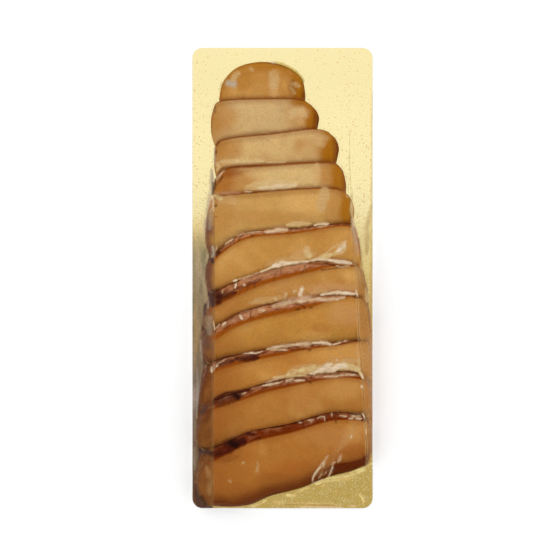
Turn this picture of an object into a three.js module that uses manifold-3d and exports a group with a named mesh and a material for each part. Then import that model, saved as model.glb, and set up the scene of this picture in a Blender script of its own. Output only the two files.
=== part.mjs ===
// Smoked cod roe, sliced and laid like roof tiles on a narrow gold card, under a tight clear film.
// Millimetres, +Z up. The origin is the middle of the card's underside. +Y runs along the card,
// from the last slice laid, which lies on top, to the first, which lies lowest.
import * as THREE from "three";
import { mergeVertices } from "three/addons/utils/BufferGeometryUtils.js";
import Module from "manifold-3d";

const wasm = await Module();
wasm.setup();

// Driving dimensions
const card = { width: 90, length: 230, thickness: 1, cornerRadius: 5 };
const gap = 0.3; // air between neighbouring pieces
const film = {
  thickness: 0.45,
  columns: 22,
  rows: 50,
  edgeBand: 0.5, // width of the outermost cells, where the film turns down to the card
  sideBunching: 0.7, // 0 spaces the columns evenly, 1 bunches them most at the two sides
  probes: 8, // how finely the food's height is felt for, along each side of its faces
  rounds: 80, // of pulling the film taut
  easing: 0.5, // how far each round pulls a point towards its neighbours
};
const roe = {
  breadth: 33, // of a whole slice, from its rim to the front edge that the next slices hide
  frontSquareness: 3, // 2 is half an ellipse between the tips, more is squarer
  tipHeight: 1.6, // where a slice thins out at its left and right ends
  widestRim: 0.35, // as a share of the breadth, where a slice narrows to its tips
  rimShare: 0.5, // share of its height that a slice's rim falls before it meets the slice below
  rimRound: 2.2,
  endRound: 2.4,
  stations: 20, // sections along a slice
};
const rowsAcross = [0, 0.3, 0.65, 1]; // over the rim, as shares of the rim's width
const rowsFront = [0.14, 0.32, 0.52, 0.72, 0.88, 0.96, 1]; // over the cut face, to the front edge

// One entry for each slice, from the first laid. rim: the outline on the far side, from the left
// tip to the right tip. rimWidth: how wide the skin of the rim shows, at left, middle and right.
// height: of the ridge over the card. fullness: how late the cut face turns down to the front.
// fallLeft, fallRight: how far in from the tips the slice reaches its whole height.
const slices = [
  {
    rim: [[-31.2, 90], [-29.2, 98.5], [-22, 105.5], [-10.2, 108], [1.2, 105.5], [8.8, 99.5], [11.2, 92]],
    rimWidth: [4.5, 4.5, 4.5], height: 6.4, fullness: 3.2, fallLeft: 8, fallRight: 8,
  },
  {
    rim: [[-35.8, 78.5], [-33.8, 84], [-28.8, 88.5], [-10.2, 89.5], [9.2, 89], [15.8, 84.5], [18.2, 78.5]],
    rimWidth: [1.2, 1, 1.2], height: 8, fullness: 2, fallLeft: 9, fallRight: 8,
  },
  {
    rim: [[-34.2, 60], [-32.8, 67], [-25.2, 70], [-6.2, 72], [16.8, 74.5], [25.2, 71], [28.2, 63]],
    rimWidth: [1.4, 1.2, 1.2], height: 9.4, fullness: 1.8, fallLeft: 8, fallRight: 9,
  },
  {
    rim: [[-34.8, 44], [-33.2, 50], [-27.2, 55], [-8.8, 56.5], [21.2, 58], [29.2, 55], [31.8, 47]],
    rimWidth: [3.2, 1.4, 1.2], height: 10.4, fullness: 1.7, fallLeft: 7, fallRight: 7,
  },
  {
    rim: [[-38.8, 23], [-36.8, 35], [-32.2, 40.5], [-10.2, 43.2], [21.2, 45], [32.2, 42], [35.8, 35]],
    rimWidth: [1.6, 1.4, 1.4], height: 11.4, fullness: 1.7, fallLeft: 9, fallRight: 6,
  },
  {
    rim: [[-38.8, 1.5], [-37.2, 8], [-30.2, 15.5], [-17.2, 22.8], [8.8, 25], [32.8, 27.2], [37.8, 20.5],
      [39.2, 10]],
    rimWidth: [2.6, 2, 1.6], height: 12.4, fullness: 1.5, fallLeft: 8, fallRight: 6,
  },
  {
    rim: [[-40, -19], [-37.8, -11], [-33.2, -6.5], [-16.2, 1], [3.8, 6.5], [21.2, 8.5], [37.2, 6.5],
      [41.2, -2.5], [42.8, -11]],
    rimWidth: [6.2, 5.4, 1.6], height: 13, fullness: 1.3, fallLeft: 8, fallRight: 6,
  },
  {
    rim: [[-40.8, -33.5], [-39.8, -27], [-33.2, -24], [-21.2, -17], [1.2, -11.2], [23.8, -8], [37.8, -8.8],
      [43.2, -16.5], [44.2, -25]],
    rimWidth: [6.2, 6, 2], height: 13.2, fullness: 1.3, fallLeft: 8, fallRight: 5.5,
  },
  {
    rim: [[-42, -57], [-39.8, -46], [-34.2, -41.5], [-21.2, -37.8], [3.8, -33.5], [26.2, -32], [41.2, -31],
      [44, -36], [44.2, -43.5]],
    rimWidth: [6, 4.4, 1.8], height: 13.4, fullness: 1.3, fallLeft: 8, fallRight: 5,
  },
  {
    rim: [[-43.2, -77], [-41.8, -67], [-36.2, -61.5], [-21.2, -56.5], [-3.8, -51], [23.8, -46.5],
      [37.8, -47.5], [43.2, -51.5], [44.2, -60]],
    rimWidth: [6.2, 5, 3], height: 13.6, fullness: 1.3, fallLeft: 8, fallRight: 4.5,
  },
  {
    rim: [[-42.8, -102], [-41.2, -91], [-37.8, -86], [-27.2, -81.5], [-16.2, -76.5], [3.8, -72.5],
      [23.8, -67], [38.8, -68.2], [43.2, -71.5], [44.2, -81]],
    rimWidth: [6.2, 6.8, 4], height: 13.6, fullness: 2.6, fallLeft: 9, fallRight: 4.5,
    front: [[-42.8, -102], [-39.8, -111.8], [-30.2, -114.2], [-17.2, -113.4], [-6.2, -109], [8.8, -105],
      [23.8, -99.2], [36.2, -96], [43, -92], [44.2, -81]],
  },
];

const clamp = THREE.MathUtils.clamp;
const lerp = THREE.MathUtils.lerp;

const curveThrough = (points) => new THREE.SplineCurve(points.map(([x, y]) => new THREE.Vector2(x, y)));

// A value given at the left, middle and right of a slice, at the share t along it.
const along = ([left, middle, right], t) =>
  t < 0.5 ? lerp(left, middle, 2 * t) : lerp(middle, right, 2 * t - 1);

// 0 at a tip, 1 from `fall` inwards, round between them.
const endShare = (distance, fall) =>
  Math.sqrt(1 - Math.pow(1 - clamp(distance / fall, 0, 1), roe.endRound));

// The front edge of a slice at the share t along it: its own outline, or a bow between the tips.
function frontPoint(slice, t) {
  if (slice.front) return curveThrough(slice.front).getPointAt(t);
  const [left, right] = [slice.rim[0], slice.rim.at(-1)];
  const middle = curveThrough(slice.rim).getPointAt(0.5);
  const depth = (left[1] + right[1]) / 2 - (middle.y - roe.breadth);
  const bow = Math.pow(1 - Math.pow(Math.abs(2 * t - 1), roe.frontSquareness), 1 / roe.frontSquareness);
  return new THREE.Vector2(lerp(left[0], right[0], t), lerp(left[1], right[1], t) - depth * bow);
}

// The grid of points of a slice's top, grown outwards by `outset`, as grid[station][row].
function topGrid(slice, outset = 0) {
  const rimCurve = curveThrough(slice.rim);
  const tips = [slice.rim[0][0] - outset, slice.rim.at(-1)[0] + outset];
  const grid = [];
  for (let i = 0; i <= roe.stations; i++) {
    const t = (1 - Math.cos((Math.PI * i) / roe.stations)) / 2;
    const back = rimCurve.getPointAt(t);
    const front = frontPoint(slice, t);
    const tip = i === 0 || i === roe.stations;
    back.set(growX(back.x, slice, outset), back.y + (tip ? 0 : outset));
    front.set(growX(front.x, slice, outset), front.y - (tip ? 0 : outset));
    const breadth = back.distanceTo(front);
    const rim = Math.min(along(slice.rimWidth, t), roe.widestRim * breadth);
    const distances = rowsAcross.map((share) => share * rim);
    rowsFront.forEach((share) => distances.push(lerp(rim, breadth, share)));
    const row = distances.map((distance) => {
      const place = breadth ? back.clone().lerp(front, distance / breadth) : back.clone();
      const inRim = rim ? clamp(1 - distance / rim, 0, 1) : 0;
      const forward = breadth > rim ? clamp((distance - rim) / (breadth - rim), 0, 1) : 0;
      const across =
        Math.sqrt(Math.max(0, 1 - Math.pow(forward, slice.fullness))) *
        (1 - roe.rimShare * Math.pow(inRim, roe.rimRound));
      const ends =
        endShare(place.x - tips[0], slice.fallLeft) * endShare(tips[1] - place.x, slice.fallRight);
      const height = lerp(roe.tipHeight, Math.max(slice.height * across, roe.tipHeight), tip ? 0 : ends);
      return new THREE.Vector3(place.x, place.y, card.thickness + height + outset);
    });
    grid.push(row);
  }
  return grid;
}

// Moves x away from the slice's middle, so that its tips move by `outset`.
function growX(x, slice, outset) {
  const left = slice.rim[0][0];
  const right = slice.rim.at(-1)[0];
  return x + outset * ((2 * (x - left)) / (right - left) - 1);
}

// A closed solid from triangles of points. Points at one place are merged.
function solidOf(triangles) {
  const flat = triangles.flatMap((points) => points.flatMap((point) => point.toArray()));
  const geometry = mergeVertices(
    new THREE.BufferGeometry().setAttribute("position", new THREE.Float32BufferAttribute(flat, 3)),
    1e-4,
  );
  const index = [];
  for (let i = 0; i < geometry.index.count; i += 3) {
    const [a, b, c] = geometry.index.array.slice(i, i + 3);
    if (a !== b && b !== c && c !== a) index.push(a, b, c);
  }
  return new wasm.Manifold(
    new wasm.Mesh({
      numProp: 3,
      vertProperties: geometry.attributes.position.array,
      triVerts: new Uint32Array(index),
    }),
  );
}

const quad = (a, b, c, d) => [[a, b, c], [a, c, d]];

// The whole block under a slice's top, down to just over the card.
function blockUnder(grid, floor) {
  const drop = (point) => new THREE.Vector3(point.x, point.y, floor);
  const triangles = [];
  for (let i = 0; i + 1 < grid.length; i++) {
    const [here, next] = [grid[i], grid[i + 1]];
    for (let j = 0; j + 1 < here.length; j++) {
      triangles.push(...quad(here[j], here[j + 1], next[j + 1], next[j]));
    }
    const last = here.length - 1;
    triangles.push(...quad(drop(here[0]), drop(next[0]), drop(next[last]), drop(here[last])));
    triangles.push(...quad(here[0], next[0], drop(next[0]), drop(here[0])));
    triangles.push(...quad(drop(here[last]), drop(next[last]), next[last], here[last]));
  }
  return solidOf(triangles);
}

function geometryOf(solid) {
  const mesh = solid.getMesh();
  const geometry = new THREE.BufferGeometry();
  geometry.setAttribute("position", new THREE.BufferAttribute(mesh.vertProperties, 3));
  geometry.setIndex(new THREE.BufferAttribute(mesh.triVerts, 1));
  geometry.computeVertexNormals();
  return geometry;
}

function cardGeometry() {
  const { width, length, thickness, cornerRadius: r } = card;
  const [w, l] = [width / 2, length / 2];
  const shape = new THREE.Shape()
    .moveTo(-w + r, -l)
    .lineTo(w - r, -l)
    .absarc(w - r, -l + r, r, -Math.PI / 2, 0)
    .lineTo(w, l - r)
    .absarc(w - r, l - r, r, 0, Math.PI / 2)
    .lineTo(-w + r, l)
    .absarc(-w + r, l - r, r, Math.PI / 2, Math.PI)
    .lineTo(-w, -l + r)
    .absarc(-w + r, -l + r, r, Math.PI, 1.5 * Math.PI);
  return new THREE.ExtrudeGeometry(shape, { depth: thickness, bevelEnabled: false, curveSegments: 8 });
}

// The four corners of the grid cell at i, j, in order.
const cornersAt = (i, j) => [[i, j], [i + 1, j], [i + 1, j + 1], [i, j + 1]];

// The highest point of the food within each cell between the lines xs and ys.
function cellHeights(grids, xs, ys) {
  const cells = xs.slice(1).map(() => ys.slice(1).map(() => card.thickness));
  const raise = (point) => {
    const i = xs.findIndex((line) => line > point.x) - 1;
    const j = ys.findIndex((line) => line > point.y) - 1;
    if (cells[i]?.[j] < point.z) cells[i][j] = point.z;
  };
  const shares = Array.from({ length: film.probes + 1 }, (_, k) => k / film.probes);
  for (const grid of grids) {
    for (let i = 0; i + 1 < grid.length; i++) {
      for (let j = 0; j + 1 < grid[i].length; j++) {
        const [a, b, c, d] = cornersAt(i, j).map(([k, l]) => grid[k][l]);
        for (const u of shares) {
          const [near, far] = [a.clone().lerp(b, u), d.clone().lerp(c, u)];
          shares.forEach((v) => raise(near.clone().lerp(far, v)));
        }
      }
    }
  }
  return cells;
}

// Grid lines from -half to half, with a narrow band at each end.
function gridLines(half, count, bunching) {
  const lines = [-half];
  for (let i = 0; i <= count - 2; i++) {
    const even = (2 * i) / (count - 2) - 1;
    lines.push((half - film.edgeBand) * lerp(even, Math.sin((Math.PI / 2) * even), bunching));
  }
  return [...lines, half];
}

const atEdge = (lines, i) => i === 0 || i === lines.length - 1;

// The film's inner face: its grid lines and its height at each crossing of them. It starts just
// over the food and is pulled taut, held up by the food and held down at the card's edge.
function drapedGrid(grids) {
  const xs = gridLines(card.width / 2 - film.thickness, film.columns, film.sideBunching);
  const ys = gridLines(card.length / 2 - film.thickness, film.rows, 0);
  const cells = cellHeights(grids, xs, ys);
  const foot = card.thickness + gap;
  const held = (i, j) => atEdge(xs, i) || atEdge(ys, j);
  const least = xs.map((_, i) =>
    ys.map((_, j) => {
      const around = cornersAt(i - 1, j - 1).map(([k, l]) => cells[k]?.[l] ?? card.thickness);
      return held(i, j) ? foot : Math.max(...around) + gap;
    }),
  );
  const tautAt = (heights, i, j) => {
    if (held(i, j)) return foot;
    const around = [[i - 1, j], [i + 1, j], [i, j - 1], [i, j + 1]];
    const pulls = around.map(([k, l]) => 1 / Math.hypot(xs[k] - xs[i], ys[l] - ys[j]));
    const mean =
      around.reduce((sum, [k, l], n) => sum + heights[k][l] * pulls[n], 0) /
      pulls.reduce((sum, pull) => sum + pull);
    return Math.max(least[i][j], lerp(heights[i][j], mean, film.easing));
  };
  let heights = least;
  for (let round = 0; round < film.rounds; round++) {
    heights = heights.map((column, i) => column.map((_, j) => tautAt(heights, i, j)));
  }
  return { xs, ys, heights };
}

// Bends a square corner of the film's outline to the card's round one.
function roundCorner(place, radius) {
  const centre = new THREE.Vector2(card.width / 2, card.length / 2).subScalar(card.cornerRadius);
  const over = new THREE.Vector2(Math.abs(place.x), Math.abs(place.y)).sub(centre);
  if (over.x <= 0 || over.y <= 0) return place;
  over.setLength(Math.min(Math.max(over.x, over.y), radius));
  return place.set(Math.sign(place.x) * (centre.x + over.x), Math.sign(place.y) * (centre.y + over.y));
}

// The film: the draped inner face, an outer face that stands off it, and a foot between them.
function filmSolid(grids) {
  const { xs, ys, heights } = drapedGrid(grids);
  const inner = (i, j) => {
    const place = roundCorner(new THREE.Vector2(xs[i], ys[j]), card.cornerRadius - film.thickness);
    return new THREE.Vector3(place.x, place.y, heights[i][j]);
  };
  const outer = (i, j) => {
    const wider = card.width / (card.width - 2 * film.thickness);
    const longer = card.length / (card.length - 2 * film.thickness);
    const place = roundCorner(new THREE.Vector2(xs[i] * wider, ys[j] * longer), card.cornerRadius);
    const rise = atEdge(xs, i) || atEdge(ys, j) ? 0 : film.thickness;
    return new THREE.Vector3(place.x, place.y, heights[i][j] + rise);
  };
  const triangles = [];
  for (let i = 0; i + 1 < xs.length; i++) {
    for (let j = 0; j + 1 < ys.length; j++) {
      triangles.push(...quad(...cornersAt(i, j).map(([k, l]) => outer(k, l))));
      triangles.push(...quad(...cornersAt(i, j).reverse().map(([k, l]) => inner(k, l))));
    }
  }
  const [right, far] = [xs.length - 1, ys.length - 1];
  const outline = [];
  for (let i = 0; i < right; i++) outline.push([i, 0]);
  for (let j = 0; j < far; j++) outline.push([right, j]);
  for (let i = right; i > 0; i--) outline.push([i, far]);
  for (let j = far; j > 0; j--) outline.push([0, j]);
  outline.forEach((here, n) => {
    const next = outline[(n + 1) % outline.length];
    triangles.push(...quad(inner(...here), inner(...next), outer(...next), outer(...here)));
  });
  return solidOf(triangles);
}

const goldFoil = new THREE.MeshStandardMaterial({ color: 0xd8b85c, metalness: 0.9, roughness: 0.35 });
const clearFilm = new THREE.MeshStandardMaterial({
  color: 0xffffff, metalness: 0, roughness: 0.1, transparent: true, opacity: 0.2,
});
const roeColours = [
  0xb28041, 0xc59e63, 0xcaa86e, 0xccab71, 0xbf9056, 0xbf8e4f,
  0xb6864f, 0xb77f3b, 0xb57e3d, 0xb67e3b, 0xa66e33,
];

const group = new THREE.Group();
function add(name, geometry, material) {
  const mesh = new THREE.Mesh(geometry, material);
  mesh.name = name;
  group.add(mesh);
}

add("board", cardGeometry(), goldFoil);

const floor = card.thickness + gap;
const grids = slices.map((slice) => topGrid(slice));
slices.forEach((slice, n) => {
  let solid = blockUnder(grids[n], floor);
  for (const lower of slices.slice(Math.max(0, n - 2), n)) {
    solid = solid.subtract(blockUnder(topGrid(lower, gap), card.thickness));
  }
  const [largest] = solid.decompose().sort((a, b) => b.volume() - a.volume());
  const material = new THREE.MeshStandardMaterial({ color: roeColours[n], roughness: 0.45, metalness: 0 });
  add(`slice_${String(n + 1).padStart(2, "0")}`, geometryOf(largest), material);
});

add("film", geometryOf(filmSolid(grids)), clearFilm);

export default group;
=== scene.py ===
# Sliced smoked cod roe on a gold card, under a tight clear film.
import math

import bmesh
import bpy
import numpy as np
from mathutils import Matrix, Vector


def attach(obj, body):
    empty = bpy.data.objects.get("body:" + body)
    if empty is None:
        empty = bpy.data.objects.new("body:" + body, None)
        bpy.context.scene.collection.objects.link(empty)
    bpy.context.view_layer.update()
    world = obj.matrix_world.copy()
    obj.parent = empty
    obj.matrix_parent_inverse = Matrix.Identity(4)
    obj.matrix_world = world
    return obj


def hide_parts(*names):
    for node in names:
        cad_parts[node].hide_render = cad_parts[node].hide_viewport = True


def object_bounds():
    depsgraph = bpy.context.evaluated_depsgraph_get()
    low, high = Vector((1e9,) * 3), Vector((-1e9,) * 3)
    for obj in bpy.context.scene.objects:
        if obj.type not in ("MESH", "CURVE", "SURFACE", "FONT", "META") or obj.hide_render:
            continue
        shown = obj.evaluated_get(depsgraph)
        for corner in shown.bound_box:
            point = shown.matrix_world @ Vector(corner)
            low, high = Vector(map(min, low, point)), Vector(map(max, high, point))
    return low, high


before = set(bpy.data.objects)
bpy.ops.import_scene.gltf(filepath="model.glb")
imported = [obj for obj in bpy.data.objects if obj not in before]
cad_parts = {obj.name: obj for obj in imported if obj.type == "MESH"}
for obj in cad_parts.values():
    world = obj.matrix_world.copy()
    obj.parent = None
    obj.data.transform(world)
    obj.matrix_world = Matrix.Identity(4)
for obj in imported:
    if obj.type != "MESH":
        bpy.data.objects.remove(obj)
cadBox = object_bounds()
mm = 0.001
print("frame loaded")

card = {"width": 90, "length": 230, "top": 1.0, "cornerRadius": 5}

# The camera looks straight down. frameWidth is what the picture shows from side to side.
shot = {"distance": 2600, "frameWidth": 280, "middle": (-1.25, -1.0), "sensor": 36}

# ---- small tools

def linear(colour):
    c = np.asarray(colour, float) / 255
    return np.where(c <= 0.04045, c / 12.92, ((c + 0.055) / 1.055) ** 2.4)


def mix(a, b, share):  # between two colours, or two fields of colours
    return a + (b - a) * np.asarray(share, float)[..., None]


def smooth(low, high, value):  # 0 at low, 1 at high, an S curve between
    t = np.clip((np.asarray(value, float) - low) / (high - low), 0, 1)
    return t * t * (3 - 2 * t)


lattice = 64         # random numbers each way behind the noise, which repeats after them
latticeShift = 200


def noise(x, y, size, seed, octaves=3):  # uneven hills between -1 and 1, about `size` mm across
    total, weight, reach = 0, 1, 0
    for octave in range(octaves):
        heights = np.random.default_rng(seed + octave).uniform(-1, 1, (lattice, lattice))
        turn = 0.6 + 1.1 * octave
        u = (np.asarray(x) * math.cos(turn) - np.asarray(y) * math.sin(turn)) / size + latticeShift
        v = (np.asarray(x) * math.sin(turn) + np.asarray(y) * math.cos(turn)) / size + latticeShift
        i, j = np.floor(u).astype(int), np.floor(v).astype(int)
        a, b = u - i, v - j
        a, b = a * a * (3 - 2 * a), b * b * (3 - 2 * b)
        i0, i1, j0, j1 = i % lattice, (i + 1) % lattice, j % lattice, (j + 1) % lattice
        low = heights[i0, j0] * (1 - a) + heights[i1, j0] * a
        high = heights[i0, j1] * (1 - a) + heights[i1, j1] * a
        total = total + (low * (1 - b) + high * b) * weight
        reach += weight
        weight, size = weight / 2, size / 2
    return total / reach


def curveThrough(points, samples=500):  # a smooth curve, read by the share of the way along it
    p = np.array(points, float)
    p = np.vstack([p[0], p, p[-1]])
    t = np.linspace(0, len(points) - 1, samples)
    k = np.minimum(t.astype(int), len(points) - 2)
    t = (t - k)[:, None]
    a, b, c, d = p[k], p[k + 1], p[k + 2], p[k + 3]
    out, into = (c - a) / 2, (d - b) / 2
    path = (2 * b - 2 * c + out + into) * t**3 + (3 * c - 3 * b - 2 * out - into) * t**2 + out * t + b
    way = np.concatenate([[0], np.cumsum(np.linalg.norm(np.diff(path, axis=0), axis=1))])
    return lambda share: np.stack([np.interp(share * way[-1], way, path[:, n]) for n in (0, 1)], -1)


def gridFaces(rows, columns, start=0):
    first = np.arange((rows - 1) * columns).reshape(rows - 1, columns)[:, :-1].ravel() + start
    return np.stack([first, first + columns, first + columns + 1, first + 1], -1)


def meshPiece(name, places, faces, closed=True, colours=None, shares=None):
    mesh = bpy.data.meshes.new(name)
    mesh.from_pydata((np.asarray(places) * mm).tolist(), [], np.asarray(faces).tolist())
    for key, value in (colours or {}).items():
        layer = mesh.color_attributes.new(key, "FLOAT_COLOR", "POINT")
        flat = np.concatenate([np.clip(value, 0, 1), np.ones((len(value), 1))], 1)
        layer.data.foreach_set("color", flat.ravel())
    for key, value in (shares or {}).items():
        mesh.attributes.new(key, "FLOAT", "POINT").data.foreach_set("value", np.asarray(value, float))
    work = bmesh.new()
    work.from_mesh(mesh)
    bmesh.ops.remove_doubles(work, verts=work.verts, dist=1e-7)
    if closed:
        bmesh.ops.recalc_face_normals(work, faces=work.faces)
    work.to_mesh(mesh)
    work.free()
    mesh.shade_smooth()
    piece = bpy.data.objects.new(name, mesh)
    bpy.context.collection.objects.link(piece)
    return piece


# ---- the pile: how high everything lies, on a grid over the card

gridStep = 0.5


def gridLine(length):
    return np.linspace(-length / 2, length / 2, int(length / gridStep) + 1)


gridX, gridY = gridLine(card["width"]), gridLine(card["length"])
pile = np.full((len(gridX), len(gridY)), card["top"])


def heightAt(field, x, y):
    u = np.clip((np.asarray(x) - gridX[0]) / gridStep, 0, len(gridX) - 1.001)
    v = np.clip((np.asarray(y) - gridY[0]) / gridStep, 0, len(gridY) - 1.001)
    i, j = u.astype(int), v.astype(int)
    a, b = u - i, v - j
    near = field[i, j] * (1 - a) + field[i + 1, j] * a
    far = field[i, j + 1] * (1 - a) + field[i + 1, j + 1] * a
    return near * (1 - b) + far * b


def between(g, axis):  # a grid with a row added halfway between each two
    g = np.moveaxis(g, axis, 0)
    fine = np.empty((2 * len(g) - 1,) + g.shape[1:])
    fine[::2], fine[1::2] = g, (g[1:] + g[:-1]) / 2
    return np.moveaxis(fine, 0, axis)


def addToPile(x, y, z):
    for axis in (0, 1, 1):
        x, y, z = between(x, axis), between(y, axis), between(z, axis)
    i = np.rint((x - gridX[0]) / gridStep).astype(int)
    j = np.rint((y - gridY[0]) / gridStep).astype(int)
    inside = (i >= 0) & (i < len(gridX)) & (j >= 0) & (j < len(gridY))
    np.maximum.at(pile, (i[inside], j[inside]), z[inside])


# ---- the slices of roe

roe = {
    "breadth": 33,                  # from a slice's rim to the front edge that the next slices hide
    "frontSquareness": 3,
    "stations": 240,                # sections along a slice
    "stationSpread": (0.55, 0.45),  # how far they crowd towards the ends, and are even
    "rimRows": 32,
    "faceRows": 46,
    "rowSpread": (0.65, 0.35),
    "widestRim": 0.35,              # of the breadth there
    "rimRound": 2.0,                # how full the rim's rounding is
    "tipHeight": 1.2,
    "endRound": 2.4,
    "lift": 0.12,                   # between a slice and what lies under it
    "thinnest": 0.1,                # over what lies under it
    "bottomGap": 0.05,              # least thickness between its top and its bottom
    "lumps": 0.2,                   # height of the uneven swells of a cut face
    "lumpSize": 9,
    "skinFolds": 0.2,               # height of the creases in the skin of a rim
    "foldSize": 2.4,
    "seamLine": 0.55,               # width of the dark line along a seam
    "seamShadeWidth": 2.6,               # of the painted shade on the roe above a seam
    "paleBelow": 0.25,              # a slice with less skin than this is a pale one
    "amberEnd": 5,                  # reach of the amber at a slice's right end
    "aside": (-33.6, -35.5),        # between these painted shade darkens the roe, past the left fold
}
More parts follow.
